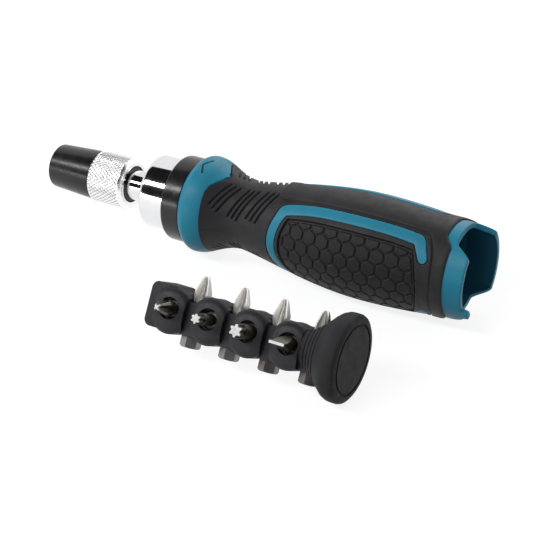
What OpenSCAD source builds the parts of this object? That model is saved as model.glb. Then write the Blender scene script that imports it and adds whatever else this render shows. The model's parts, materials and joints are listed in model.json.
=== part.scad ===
// Ratcheting screwdriver with a bit cartridge that is stored in its hollow handle.
// The driver lies along X with the nose mouth at the origin and the handle towards +X.
// The cartridge is drawn out and lies beside the driver, at -Y, rolled on its bits.

/* [Release sleeve] */
// Length of the black nose cap
nose_len = 19.8; // [18:0.2:24]
// Radius of the nose cap at its mouth
nose_front_r = 8.7; // [8.4:0.1:9.2]
// Radius of the nose cap at its rear edge
nose_rear_r = 9.8; // [9.4:0.1:10.2]
// Rounding of the nose cap's front edge
nose_round = 1; // [0.6:0.1:1.2]
// Radius of the nose cap's open mouth
nose_mouth_r = 7.2; // [7.1:0.05:7.3]
// Length of the knurled collar
collar_len = 16; // [15:0.2:20]
// Radius of the knurled collar
collar_r = 10.3; // [9.9:0.1:11.5]
// Chamfer at the collar's rear edge
collar_chamfer = 1.2; // [0.4:0.1:1.6]
// Length of the nose cap's spigot inside the collar
spigot_len = 7.2; // [6:0.2:8]
// How far the sleeve slides back to free a bit
sleeve_travel = 3.5; // [3:0.1:3.6]

/* [Spindle] */
// Radius of the spindle's stem
spindle_r = 6; // [5.6:0.1:6.2]
// Depth of the spindle's end behind the nose mouth
spindle_recess = 2.5; // [1.5:0.1:3]
// Bare stem between the collar and the ratchet housing
stem_len = 10.7; // [8:0.1:14]
// Width across the flats of a bit's hexagon
hex_af = 6.35; // [6.35:0.05:6.35]
// Depth of the hexagonal socket
socket_depth = 17; // [15:0.5:19]
// Radius of the magnet at the socket's floor
magnet_r = 2.8; // [2:0.1:3]
// Length of the magnet
magnet_len = 4; // [3:0.5:6]
// Radius of the locking ball
ball_r = 1.6; // [1.4:0.1:1.7]
// Distance from the nose mouth to the locking ball
ball_x = 14; // [13.6:0.1:14.5]
// How far the locking ball stands into the socket
ball_bite = 0.45; // [0.3:0.05:0.5]

/* [Sleeve spring] */
// Wire radius of the sleeve spring
spring_wire_r = 0.3; // [0.2:0.05:0.35]
// Turns of the sleeve spring
spring_turns = 3; // [2:1:4]
// Thickness of the spring washer and of the retaining clips
clip_t = 0.8; // [0.6:0.1:1]

/* [Ratchet] */
// Length of the bare chrome housing
housing_len = 12.2; // [10:0.2:16]
// Radius of the chrome housing
housing_r = 14.6; // [14.4:0.1:16]
// Rounding of the housing's front edge
housing_round = 2; // [1:0.1:3]
// Radius of the seat that the selector ring turns on
seat_r = 14.3; // [14:0.1:14.4]
// Radius of the housing's tail inside the handle
tail_r = 12.2; // [11.8:0.1:12.4]
// Length of the housing's tail inside the handle
tail_len = 11; // [10:0.2:12]
// Radius of the ratchet chamber
chamber_r = 12.6; // [12.5:0.1:12.8]
// Thickness of the chamber's front and rear walls
chamber_wall = 1.4; // [1:0.1:2]
// Width of the black selector ring
selector_w = 8; // [7:0.2:10]
// Radius of the black selector ring
selector_r = 16.7; // [16.5:0.1:18]
// Turn of the selector ring to either side
selector_turn = 15; // [12:1:16]
// Radius over the teeth of the ratchet gear
gear_r = 8; // [7.6:0.1:8]
// Number of teeth on the ratchet gear
gear_teeth = 36; // [36:12:36]
// Depth of the gear's teeth
tooth_depth = 0.9; // [0.7:0.1:1]
// Radius of the pawl's pivot pin
pawl_pin_r = 1; // [0.8:0.1:1.1]
// Radius at which the pawl pivots
pawl_pivot = 10.4; // [10.3:0.1:10.5]
// Angle from the pivot to each pawl tip
pawl_reach = 30.4; // [30:0.1:31]
// Radius of the selector's plunger
plunger_r = 1.2; // [1:0.1:1.3]
// Wall of the spindle's bearing bushes
bush_wall = 2.2; // [1.5:0.1:2.6]

/* [Handle] */
// Length of the flange ring at the front of the handle
flange_len = 9.6; // [8:0.2:12]
// Largest radius of the flange ring
flange_r = 18.8; // [18.2:0.1:20]
// Radius where the grip starts behind the flange
grip_front_r = 17.2; // [16.8:0.1:17.6]
// Smallest radius of the neck
neck_r = 13.4; // [13:0.1:15]
// Distance from the flange to the neck
neck_run = 13; // [11:0.2:18]
// Largest radius of the grip
belly_r = 19.9; // [19:0.1:22]
// Distance from the neck to the belly
belly_run = 51.5; // [46:0.5:60]
// Radius of the grip at its rear end
rear_r = 18.4; // [18.2:0.1:19.5]
// Distance from the belly to the rear end of the taper
rear_run = 27; // [20:0.5:36]
// Length of the straight rubber behind the taper
rear_band = 8; // [6:0.2:12]
// Thickness of the soft grip over the core
skin_t = 1.8; // [1.5:0.1:2]
// Depth of the ribs on the neck
rib_depth = 0.7; // [0.4:0.1:0.9]
// Width of one rib groove on the neck
rib_w = 0.65; // [0.5:0.05:0.8]
// Slant of the rib grooves, from upright
rib_slant = 45; // [38:1:48]
// Half width of the smooth ridge between the near and the far ribs
rib_clear = 2.5; // [2:0.1:4]
// Roll of the grip's pattern about the handle's axis
grip_roll = 7; // [0:0.5:8]
// Step of the raised bands at the top and bottom of the grip
band_h = 1; // [0.6:0.1:1.2]
// Half angle of a raised band
band_deg = 17; // [14:1:18]

/* [Rear mouth] */
// Radius of the hard rear rim
rim_r = 17.6; // [17.4:0.1:18]
// Length of the rim's side lobes beyond the rubber
rim_lobe = 7.2; // [5:0.2:9]
// Height of the corner at the lower end of the near lobe
rim_corner = 2.4; // [1.6:0.1:3]
// Depth of the finger scoops at the top and bottom of the rim
scoop_depth = 6; // [4:0.2:7]
// Half width of a scoop at its floor
scoop_half_w = 7.3; // [6:0.1:8]
// Radius of the bay that holds the bit cartridge
bay_r = 13.3; // [13.2:0.05:13.4]
// Radius of the mouth that takes the cartridge cap
mouth_r = 15.6; // [15.5:0.05:15.7]
// Depth of that mouth
mouth_depth = 12; // [10:0.5:14]
// Length of the bay
bay_len = 77; // [74:0.5:77]

/* [Grip panels] */
// Angle from the side to the outer edge of the coloured stripe
stripe_out_deg = 67; // [64:0.5:68]
// Angle from the side to the inner edge of the coloured stripe
stripe_in_deg = 54; // [52:0.5:56]
// Width of the stripe's legs
stripe_w = 3.6; // [3:0.1:4.2]
// Distance from the neck to the stripe's front leg
stripe_front = 15.5; // [14.5:0.1:17]
// Length of the stripe from the front leg to its rear corner
stripe_len = 60.6; // [58:0.2:62]
// Radius of the front edge of the front leg
stripe_bow = 20.2; // [19.5:0.1:22]
// Radius of the rear edge of the front leg
stripe_in_bow = 22.2; // [21.5:0.1:24]
// Height of the front leg's foremost point above the side's middle
stripe_apex = 2; // [0:0.5:2.5]
// Slant of the rear legs, from upright
leg_slant = 34; // [28:1:38]
// Height of a rear leg's end above the side's middle
leg_low = 9.9; // [9:0.1:11]
// Depth of the stripe's surface below the grip's
stripe_sink = 0.2; // [0.1:0.05:0.4]
// Border of rubber between the stripe and the hexagon panel
panel_border = 2.2; // [1.8:0.1:3]
// Angle from the side to the edge of the hexagon panel
panel_deg = 47.5; // [44:0.5:48]
// Length of the hexagon panel
panel_len = 55; // [52:0.5:56]
// Radius of the panel's rear edge
panel_bow = 31.6; // [28:0.2:36]
// Thickness of the hexagon panel
panel_t = 1.3; // [1.1:0.1:1.4]
// Pitch of the hexagons along the handle
cell_pitch = 5.5; // [5:0.1:7]
// Distance between rows of hexagons
cell_row = 4.85; // [4.4:0.05:6]
// Width of the groove between hexagons
cell_groove = 0.7; // [0.5:0.1:1]
// Depth of the groove between hexagons
cell_depth = 0.6; // [0.4:0.1:0.7]

/* [Cartridge] */
// Distance from the driver's axis to the cartridge's axis, across
cartridge_y = 65.5; // [60:0.5:80]
// Depth of the cartridge's axis below the driver's axis
cartridge_drop = 4.5; // [4:0.1:5]
// Distance from the nose mouth to the first bit of the cartridge
cartridge_x = 99.5; // [90:0.1:110]
// Roll of the cartridge about its axis
cartridge_roll = 30; // [20:1:35]
// Pitch of the bits along the cartridge
bit_pitch = 7.7; // [7.5:0.1:8.2]
// Length of a bit
bit_len = 25; // [25:0.5:26]
// Length of a bit's hexagon
bit_hex_len = 14; // [13:0.5:15]
// How far an upright bit's hexagon reaches below the axis
bit_down = 11.9; // [11.5:0.1:12.2]
// How far the lying bits are pushed out of their stored place
bit_out = 3.8; // [0:0.1:4.5]
// Depth of the lying bits below the cartridge's axis
lying_down = 0.3; // [0:0.1:0.6]
// How far the upright bits stand before the cartridge's axis
upright_near = 0.7; // [0:0.1:1]
// Half height of the rounded cells
cell_half_h = 8.2; // [8:0.1:8.8]
// Half width of the rounded cells along the cartridge
cell_half_w = 5.8; // [5.4:0.1:6]
// Distance from the axis to the near faces of the rounded cells
cell_near = 8; // [7.4:0.1:8.4]
// Distance from the axis to the far side of the carrier
carrier_half_d = 6.4; // [6:0.1:7]
// Top of the carrier's straight cells above the axis
carrier_top = 3.6; // [3.2:0.1:4]
// Bottom of the carrier's straight cells below the axis
carrier_bottom = 7.8; // [7.4:0.1:8.2]
// Reach of the square end plate before the first bit
plate_reach = 9.4; // [8.4:0.1:9.6]
// Radius of the cartridge cap
cap_r = 15.3; // [15:0.05:15.35]
// Length of the cap from its arms' ends to its face
cap_len = 16.2; // [15:0.1:16.4]
// Radius of the cap's arms at their ends
cap_root_r = 8; // [7.8:0.1:8.6]

/* [Clearances] */
// Radial clearance of a turning or sliding fit
run_gap = 0.05; // [0.03:0.01:0.08]
// Clearance of a bit in the carrier or the socket, each side
bit_gap = 0.08; // [0.05:0.01:0.1]
// Axial clearance between pieces that turn past each other
end_gap = 0.15; // [0.1:0.01:0.2]

/* [Hidden] */
$fn = 64;
eps = 0.01;

// Stations along the driver
collar_x = nose_len;
collar_end = collar_x + collar_len;
housing_x = collar_end + stem_len;
selector_x = housing_x + housing_len;
flange_x = selector_x + selector_w;
grip_x = flange_x + flange_len;
neck_x = grip_x + neck_run;
belly_x = neck_x + belly_run;
taper_x = belly_x + rear_run;
grip_end = taper_x + rear_band;
rim_end = grip_end + rim_lobe;
bay_x = rim_end - bay_len;

// Stations of the sleeve and its spring
hex_wall = hex_af / 2 + bit_gap;
sleeve_bore = spindle_r + run_gap;
clip_out_r = spindle_r + 0.9;
stop_bore = clip_out_r + run_gap;
clip_groove_r = spindle_r - 0.5;
front_clip_x = spindle_recess + 5.5;
stop_x = front_clip_x + clip_t;
ramp_end = ball_x + 0.7;
ball_lift = ball_bite + bit_gap;
ramp_slope = ball_lift / sleeve_travel;
ball_at = hex_wall - ball_bite + ball_r;
spring_x = collar_x + spigot_len;
rear_clip_x = collar_end - clip_t - 0.4;
washer_x = rear_clip_x - clip_t;
spring_len = washer_x - spring_x;
spigot_r = collar_r - 2;
washer_r = spigot_r - 0.3;
spring_r = (spindle_r + spigot_r) / 2;

// Stations of the ratchet
socket_x = spindle_recess + socket_depth;
chamber_x = selector_x + chamber_wall / 2;
chamber_end = flange_x - chamber_wall / 2;
gear_x = chamber_x + end_gap;
gear_len = chamber_end - chamber_x - 2 * end_gap;
gear_bore_r = spindle_r - 1;
rear_journal_r = gear_bore_r - 1;
rear_bush_x = chamber_end + chamber_wall;
tail_end = flange_x + tail_len;
circlip_x = tail_end - clip_t - 0.6;
rear_bush_end = circlip_x - end_gap;
spindle_end = tail_end;
pawl_back = pawl_pivot + pawl_pin_r + 0.5;
plunger_tip = pawl_back + 0.2;
plunger_x = (chamber_x + chamber_end) / 2;
plunger_top = seat_r + 0.4;
plunger_pocket = selector_r - 0.7;
window_deg = selector_turn + asin(plunger_r / chamber_r) + 3;

// Places of the raised bands and of the grip panels
band_x = neck_x + 13.9;
band_len = 27;
stripe_x = neck_x + stripe_front;
stripe_end = stripe_x + stripe_len;
panel_x = stripe_x + stripe_w + panel_border;
panel_end = panel_x + panel_len;
cell_x = panel_x + cell_pitch / 3;

// Places in the cartridge
cell_count = 8;
web_half_d = carrier_half_d - 1.8;
web_x = -cell_half_w + 0.5;
carrier_end = (cell_count - 1) * bit_pitch + hex_af / 2 + 1.6;
arm_x = (cell_count - 2) * bit_pitch + 4.6;
flat_r = hex_af / 2 + bit_gap;

// Radius of the soft grip along the handle, in three eased runs
function ease(t) = sin(90 * max(0, min(1, t)));
function grip_r(x) =
    x < neck_x ? grip_front_r - (grip_front_r - neck_r) * ease((x - grip_x) / neck_run) :
    x < belly_x ? neck_r + (belly_r - neck_r) * pow(ease((x - neck_x) / belly_run), 1.25) :
    belly_r - (belly_r - rear_r) * (1 - cos(90 * min(1, (x - belly_x) / rear_run)));
function flange_profile(t) = flange_r - (t < 0.35
    ? (flange_r - selector_r) * pow(1 - t / 0.35, 2)
    : (flange_r - grip_front_r) * pow((t - 0.35) / 0.65, 2));
function run_points(x0, x1, n, inset) =
    [for (i = [0 : n]) let (x = x0 + (x1 - x0) * i / n) [grip_r(x) - inset, x]];

// Points of a tube swept along a helix about Z
function helix_points(turns, r, wire, rise, per_turn, sides) =
    [for (i = [0 : turns * per_turn]) let (a = 360 * i / per_turn, z = rise * i / (turns * per_turn))
        for (k = [0 : sides - 1]) let (b = 360 * k / sides, q = r + wire * cos(b))
            [q * cos(a), q * sin(a), z + wire * sin(b)]];
function tube_faces(rings, sides) = concat(
    [for (i = [0 : rings - 2]) for (k = [0 : sides - 1]) let (a = i * sides + k,
        b = i * sides + (k + 1) % sides) each [[a, a + sides, b], [b, a + sides, b + sides]]],
    [for (k = [1 : sides - 2]) [0, k, k + 1]],
    [for (k = [1 : sides - 2]) let (s = (rings - 1) * sides) [s, s + k + 1, s + k]]);
module coil(turns, r, wire, rise) {
    per_turn = 12;
    sides = 6;
    polyhedron(helix_points(turns, r, wire, rise, per_turn, sides),
        tube_faces(turns * per_turn + 1, sides));
}

// Shared shapes
module along_x() { rotate([0, 90, 0]) children(); }
module rod(x0, x1, r) { along_x() translate([0, 0, x0]) cylinder(h = x1 - x0, r = r); }
module tube(x0, x1, r_in, r_out) {
    difference() {
        rod(x0, x1, r_out);
        rod(x0 - eps, x1 + eps, r_in);
    }
}
module turned(points) { along_x() rotate_extrude() polygon(points); }
module arc_turned(from_deg, to_deg, points) {
    along_x() rotate([0, 0, from_deg + 90]) rotate_extrude(angle = to_deg - from_deg) polygon(points);
}
module hex_rod(x0, x1, flat) {
    along_x() translate([0, 0, x0]) rotate([0, 0, 30])
        cylinder(h = x1 - x0, r = flat / cos(30), $fn = 6);
}
// A clip ring with the gap that lets it spring into its groove
module open_clip(x, r_in, r_out) {
    gap = 2;
    difference() {
        tube(x, x + clip_t, r_in, r_out);
        translate([x - eps, -gap / 2, -r_out - 1]) cube([clip_t + 2 * eps, gap, r_out + 1 - r_in + 1.5]);
    }
}
module both_sides() {
    children();
    mirror([0, 1, 0]) children();
}

// Release sleeve
module nose_cap() {
    color("#1b1b1d") difference() {
        union() {
            turned([[0, 0], [nose_front_r - nose_round, 0], [nose_front_r, nose_round],
                [nose_rear_r - 0.2, nose_len - 3], [nose_rear_r, nose_len], [0, nose_len]]);
            rod(nose_len - eps, spring_x, spigot_r);
        }
        rod(-eps, spindle_recess - end_gap, nose_mouth_r);
        rod(spindle_recess - 2 * end_gap, stop_x, stop_bore);
        turned([[0, stop_x - eps], [sleeve_bore + ramp_slope * (ramp_end - stop_x), stop_x - eps],
            [sleeve_bore, ramp_end], [0, ramp_end]]);
        rod(ramp_end - eps, spring_x + 1, sleeve_bore);
    }
}
module knurled_collar() {
    front_chamfer = 0.5;
    color("#d9dadd") turned([[spigot_r, collar_x], [collar_r - front_chamfer, collar_x],
        [collar_r, collar_x + front_chamfer], [collar_r, collar_end - collar_chamfer],
        [collar_r - collar_chamfer, collar_end], [spigot_r, collar_end]]);
}
module sleeve_spring() {
    color("#8d9095") along_x() translate([0, 0, spring_x + spring_wire_r + 0.05])
        coil(spring_turns, spring_r, spring_wire_r, spring_len - 2 * spring_wire_r - 0.1);
}
module spring_washer() { color("#26262a") tube(washer_x, rear_clip_x, spindle_r, washer_r); }
module rear_clip() { color("#26262a") open_clip(rear_clip_x, clip_groove_r, clip_out_r); }
module front_clip() { color("#8d9095") open_clip(front_clip_x, clip_groove_r, clip_out_r); }

// Spindle with its socket, ball seat, gear seat and rear journal
module spindle() {
    mouth_chamfer = 0.6;
    color("#d3d5d8") difference() {
        turned([[0, spindle_recess], [spindle_r - mouth_chamfer, spindle_recess],
            [spindle_r, spindle_recess + mouth_chamfer],
            [spindle_r, gear_x - end_gap], [gear_bore_r, gear_x - end_gap],
            [gear_bore_r, gear_x + gear_len], [rear_journal_r, gear_x + gear_len],
            [rear_journal_r, spindle_end], [0, spindle_end]]);
        hex_rod(spindle_recess - eps, socket_x, hex_wall);
        turned([[0, spindle_recess - eps], [hex_wall / cos(30) + 0.5, spindle_recess - eps],
            [hex_wall - 0.4, spindle_recess + 1.2], [0, spindle_recess + 1.2]]);
        rod(socket_x - eps, socket_x + magnet_len, magnet_r);
        translate([ball_x, 0, 0]) cylinder(h = spindle_r + 1, r = ball_r + run_gap);
        tube(front_clip_x, front_clip_x + clip_t, clip_groove_r, spindle_r + 1);
        tube(rear_clip_x, rear_clip_x + clip_t, clip_groove_r, spindle_r + 1);
        tube(circlip_x, circlip_x + clip_t, rear_journal_r - 0.5, rear_journal_r + 1);
    }
}
module socket_magnet() { color("#6f7276") rod(socket_x, socket_x + magnet_len, magnet_r); }
module locking_ball() { color("#e2e3e6") translate([ball_x, 0, ball_at]) sphere(r = ball_r); }
module gear_outline() {
    root_r = gear_r - tooth_depth;
    pitch_deg = 360 / gear_teeth;
    polygon([for (i = [0 : gear_teeth - 1]) for (p = [[0, root_r], [0.42, gear_r], [0.58, gear_r]])
        let (a = (i + p[0]) * pitch_deg) [p[1] * cos(a), p[1] * sin(a)]]);
}
module ratchet_gear() {
    color("#9b9ea3") along_x() translate([0, 0, gear_x]) linear_extrude(gear_len) difference() {
        gear_outline();
        circle(r = gear_bore_r);
    }
}
module spindle_circlip() {
    color("#8d9095") open_clip(circlip_x, rear_journal_r - 0.5, rear_journal_r + 0.9);
}

// Ratchet housing, its bushes and the selector
module ratchet_housing() {
    round_steps = 8;
    edge = [for (i = [0 : round_steps]) let (a = 90 * i / round_steps)
        [housing_r - housing_round + housing_round * sin(a), housing_x + housing_round * (1 - cos(a))]];
    color("#cfd1d4") difference() {
        turned(concat([[0, housing_x]], edge, [[housing_r, selector_x], [seat_r, selector_x],
            [seat_r, flange_x], [tail_r, flange_x], [tail_r, tail_end], [0, tail_end]]));
        rod(housing_x - eps, chamber_x + 1, spindle_r + bush_wall);
        rod(chamber_x, chamber_end, chamber_r);
        rod(chamber_end - eps, rear_bush_x, rear_journal_r + 0.5);
        rod(rear_bush_x - eps, rear_bush_end, rear_journal_r + bush_wall);
        rod(rear_bush_end - eps, tail_end + eps, rear_journal_r + bush_wall);
        arc_turned(90 - window_deg, 90 + window_deg, [[chamber_r - 1, chamber_x + 0.6],
            [seat_r + 1, chamber_x + 0.6], [seat_r + 1, chamber_end - 0.6],
            [chamber_r - 1, chamber_end - 0.6]]);
        translate([0, 0, pawl_pivot])
            rod(chamber_x - chamber_wall, chamber_end + chamber_wall, pawl_pin_r);
    }
}
module front_bush() {
    color("#b08d57") tube(housing_x + 0.6, chamber_x - 0.6, sleeve_bore, spindle_r + bush_wall);
}
module rear_bush() {
    color("#b08d57") tube(rear_bush_x, rear_bush_end, rear_journal_r + run_gap, rear_journal_r + bush_wall);
}
module pawl_pin() {
    color("#9b9ea3") translate([0, 0, pawl_pivot])
        rod(chamber_x - chamber_wall, chamber_end + chamber_wall, pawl_pin_r);
}
// Two tips on a curved bar that rocks about the pin, so one tip at a time meets the gear
module rocker_pawl() {
    bar_in = gear_r + 1;
    bar_out = pawl_back - 0.3;
    tip_r = gear_r + 0.12;
    tip_half = 4;
    x0 = gear_x + 0.3;
    x1 = gear_x + gear_len - 0.3;
    color("#85888d") difference() {
        union() {
            arc_turned(90 - pawl_reach - tip_half, 90 + pawl_reach + tip_half,
                [[bar_in, x0], [bar_out, x0], [bar_out, x1], [bar_in, x1]]);
            for (s = [-1, 1]) rotate([s * pawl_reach, 0, 0]) translate([x0, 0, 0])
                rotate([90, 0, 90]) linear_extrude(x1 - x0)
                    polygon([[-0.07, tip_r], [0.07, tip_r], [0.6, bar_in + 0.3], [-0.6, bar_in + 0.3]]);
            translate([x0, -3.6, bar_in + 0.4]) cube([x1 - x0, 7.2, pawl_back - bar_in - 0.4]);
        }
        translate([0, 0, pawl_pivot]) rod(x0 - 1, x1 + 1, pawl_pin_r + run_gap);
    }
}
module selector_ring() {
    edge = 0.6;
    x0 = selector_x + end_gap;
    x1 = flange_x - end_gap;
    r_in = seat_r + 2 * run_gap;
    color("#17171a") difference() {
        turned([[r_in, x0], [selector_r - edge, x0], [selector_r, x0 + edge],
            [selector_r, x1 - edge], [selector_r - edge, x1], [r_in, x1]]);
        translate([plunger_x, 0, 0]) cylinder(h = plunger_pocket, r = plunger_r + run_gap);
    }
}
module selector_plunger() {
    color("#e2e3e6") translate([plunger_x, 0, plunger_tip + plunger_r]) union() {
        sphere(r = plunger_r);
        cylinder(h = plunger_top - plunger_tip - plunger_r, r = plunger_r);
    }
}
module plunger_spring() {
    wire = 0.2;
    room = plunger_pocket - plunger_top;
    color("#8d9095") translate([plunger_x, 0, plunger_top + wire + 0.02])
        coil(2, plunger_r - wire - 0.1, wire, room - 2 * wire - 0.04);
}

// Handle
// Solid of the coloured stripes round the near panel, from the axis outwards
module stripe_room() {
    far = belly_r + 4;
    front_tip = stripe_x + stripe_w + 3;
    corner_h = grip_r(stripe_end) * sin(stripe_out_deg);
    cut = stripe_w / 3;
    function leg_x(h) = stripe_end + (corner_h - h) * tan(leg_slant);
    module run(a0, a1, x0, x1) {
        arc_turned(a0, a1, [[neck_r / 2, x0], [far, x0], [far, x1], [neck_r / 2, x1]]);
    }
    module side_view() { rotate([90, 0, 0]) linear_extrude(far) children(); }
    for (a = [180 - stripe_out_deg, 180 + stripe_in_deg])
        run(a, a + stripe_out_deg - stripe_in_deg, front_tip, stripe_end - cut);
    intersection() {
        run(180 - stripe_out_deg, 180 + stripe_out_deg, stripe_x - 1, front_tip + 3);
        side_view() translate([stripe_x, stripe_apex]) difference() {
            translate([stripe_bow, 0]) circle(r = stripe_bow);
            translate([stripe_w + stripe_in_bow, 0]) circle(r = stripe_in_bow);
            translate([front_tip - stripe_x + 4, -far]) square(2 * far);
        }
    }
    intersection() {
        run(180 - stripe_out_deg, 180 + stripe_out_deg, stripe_end - 2 * stripe_w, leg_x(leg_low) + 1);
        side_view() for (s = [-1, 1])
            polygon([[leg_x(far) - stripe_w, s * far], [leg_x(far), s * far],
                [leg_x(leg_low + 1.6), s * (leg_low + 1.6)], [leg_x(leg_low) - cut, s * leg_low],
                [leg_x(leg_low + 0.8) - stripe_w, s * (leg_low + 0.8)]]);
    }
}
module both_stripes() { rotate([grip_roll, 0, 0]) both_sides() stripe_room(); }
// The hard tongue that reaches back from the flange over the top of the neck
module tongue_room() {
    tongue_len = 4.9;
    root_half = 9.5;
    tip_half = 0.7;
    rotate([grip_roll, 0, 0]) translate([0, 0, neck_r / 2]) linear_extrude(flange_r)
        polygon([[grip_x - 1, -root_half], [grip_x, -root_half], [grip_x + tongue_len, -tip_half],
            [grip_x + tongue_len, tip_half], [grip_x, root_half], [grip_x - 1, root_half]]);
}
// Skin between the core and the outside of the grip
module skin(outer_inset, inner_inset, x0, x1, n) {
    outer = run_points(x0, x1, n, outer_inset);
    inner = run_points(x0, x1, n, inner_inset);
    turned(concat(outer, [for (i = [n : -1 : 0]) inner[i]]));
}
// Wedge that scoops the top and bottom of the rear end for thumb and finger
module scoop(floor_x, half_w, depth) {
    slope = 0.75;
    translate([0, 0, -belly_r - 1]) linear_extrude(2 * belly_r + 2) polygon([[floor_x, -half_w],
        [floor_x, half_w], [floor_x + depth + 1, half_w + slope * (depth + 1)],
        [floor_x + depth + 1, -half_w - slope * (depth + 1)]]);
}
// Engraved mark on the flange that shows which way the selector turns: two strokes from one corner
module direction_mark() {
    mark_w = 0.85;
    cut_h = 4;
    floor_r = flange_r - 0.65;
    module stroke(at_deg, x, len, slant) {
        rotate([at_deg - 90, 0, 0]) translate([flange_x + x, 0, floor_r + cut_h / 2]) rotate([0, 0, slant])
            cube([mark_w, len, cut_h], center = true);
    }
    stroke(95.2, 4.9, 5.6, -23.4);
    stroke(107.7, 4.75, 4.6, 25.3);
}
module handle_core() {
    flange_steps = 10;
    body_steps = 36;
    rim_edge = 0.8;
    flange = [for (i = [0 : flange_steps]) let (t = i / flange_steps)
        [flange_profile(t), flange_x + flange_len * t]];
    body = run_points(grip_x, grip_end - scoop_depth, body_steps, skin_t);
    color("#1f8aa6") difference() {
        union() {
            turned(concat([[0, flange_x]], flange, body,
                [[rim_r - 0.6, grip_end - scoop_depth], [rim_r - 0.6, grip_end - 1], [rim_r, grip_end],
                 [rim_r, rim_end - rim_edge], [rim_r - rim_edge, rim_end], [0, rim_end]]));
            intersection() {
                skin(stripe_sink, skin_t + 0.6, stripe_x - 2, stripe_end + 6, 20);
                both_stripes();
            }
            intersection() {
                skin(stripe_sink, skin_t + 0.6, grip_x - 0.5, neck_x, 8);
                tongue_room();
            }
            arc_turned(204, 217, [[mouth_r + 0.2, rim_end - 1.5], [rim_r - 0.1, rim_end - 1.5],
                [rim_r - 0.1, rim_end + rim_corner - 0.6], [rim_r - 0.7, rim_end + rim_corner],
                [mouth_r + 0.2, rim_end + rim_corner]]);
        }
        rod(flange_x - eps, tail_end, tail_r);
        rod(tail_end - eps, tail_end + 3, rear_journal_r + 1);
        rod(bay_x, rim_end + 1, bay_r);
        rod(rim_end - mouth_depth, rim_end + 1, mouth_r);
        scoop(rim_end - scoop_depth, scoop_half_w, scoop_depth);
        direction_mark();
    }
}
// Layer of the grip over a panel, with its steps kept off the hexagons' corners and flats
module panel_skin(outer_inset, inner_inset) {
    x0 = cell_x - 0.75 * cell_pitch;
    steps = ceil((panel_end - x0) / cell_pitch) + 1;
    skin(outer_inset, inner_inset, x0, x0 + steps * cell_pitch, steps);
}
module panel_room(clear) {
    far = belly_r + 4;
    a = panel_deg + clear;
    front_bow = stripe_in_bow - panel_border;
    intersection() {
        arc_turned(180 - a, 180 + a, [[neck_r / 2, panel_x - 1], [far, panel_x - 1],
            [far, panel_end + 1], [neck_r / 2, panel_end + 1]]);
        rotate([90, 0, 0]) linear_extrude(far) intersection() {
            union() {
                translate([panel_x - clear + front_bow, stripe_apex]) circle(r = front_bow);
                translate([panel_x + front_bow, -far]) square([panel_len, 2 * far]);
            }
            translate([panel_end + clear - panel_bow, 0]) circle(r = panel_bow);
        }
    }
}
// Raised band of rubber on the top or bottom of the grip, with a step up from the neck
module grip_band(at_deg) {
    steps = 8;
    rise = [for (i = [0 : steps]) let (t = i / steps)
        [grip_r(band_x + band_len * t) + band_h - (band_h + 0.25) * t, band_x + band_len * t]];
    root = [for (i = [steps : -1 : 0]) let (x = band_x + band_len * i / steps) [grip_r(x) - 0.6, x]];
    arc_turned(at_deg - band_deg, at_deg + band_deg, concat(rise, root));
}
// Slanted rib grooves on both sides of the neck, in three groups, at the top and the bottom
module rib_grooves() {
    far = flange_r + 2;
    steps = 12;
    groove_end = band_x - 0.4;
    across = rib_w / cos(rib_slant);
    // Start of a group behind the flange, its grooves, their pitch and the height of their lower ends
    groups = [[-5.4, 3, 2.4, 8.2], [5.2, 4, 1.75, 5.2], [12.4, 3, 1.85, 6.6]];
    intersection() {
        difference() {
            rod(grip_x + 1, groove_end, far);
            turned(concat([[0, grip_x]], run_points(grip_x, groove_end + 1, steps, rib_depth),
                [[0, groove_end + 1]]));
        }
        both_sides() translate([0, -rib_clear, 0]) rotate([90, 0, 0]) linear_extrude(far)
            for (g = groups) for (i = [0 : g[1] - 1]) for (s = [-1, 1])
                let (x = grip_x + g[0] + i * g[2], low = g[3], t = tan(rib_slant))
                    polygon([[x + low * t, s * low], [x + low * t + across, s * low],
                        [x + far * t + across, s * far], [x + far * t, s * far]]);
    }
}
module soft_grip() {
    steps = 36;
    end_round = 0.8;
    points = run_points(grip_x, grip_end - end_round, steps, 0);
    inner = run_points(grip_x, grip_end - scoop_depth, steps, skin_t);
    color("#232326") difference() {
        union() {
            turned(concat(points, [[rear_r - end_round, grip_end], [rim_r, grip_end],
                [rim_r - 0.6, grip_end - 1], [rim_r - 0.6, grip_end - scoop_depth]],
                [for (i = [steps : -1 : 0]) inner[i]]));
            rotate([grip_roll, 0, 0]) for (a = [90, 270]) grip_band(a);
        }
        both_stripes();
        tongue_room();
        rotate([grip_roll, 0, 0]) {
            both_sides() intersection() {
                panel_skin(-2, panel_t);
                panel_room(0);
            }
            rib_grooves();
        }
        scoop(grip_end - 3.4, scoop_half_w, 4);
    }
}
// One side panel: a thin base with raised hexagons in staggered rows
module grip_panel() {
    row_deg = cell_row / belly_r * 180 / PI;
    rows = floor(panel_deg / row_deg) + 1;
    columns = floor(panel_len / cell_pitch) + 1;
    cell_r = (cell_pitch - cell_groove) / 2 / cos(30);
    edge = 0.8;
    color("#2a2a2d") union() {
        intersection() {
            panel_skin(cell_depth, panel_t);
            panel_room(0);
        }
        intersection() {
            panel_skin(0, panel_t - 0.2);
            panel_room(-edge);
            for (j = [-rows : rows]) rotate([90 + j * row_deg, 0, 0])
                for (i = [0 : columns])
                    translate([cell_x + (i - (j % 2 == 0 ? 0 : 0.5)) * cell_pitch, 0, neck_r / 2])
                        rotate([0, 0, 30]) cylinder(h = belly_r, r = cell_r, $fn = 6);
        }
    }
}
module near_grip_panel() { rotate([grip_roll, 0, 0]) grip_panel(); }
module far_grip_panel() { rotate([grip_roll, 0, 0]) mirror([0, 1, 0]) grip_panel(); }

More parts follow.
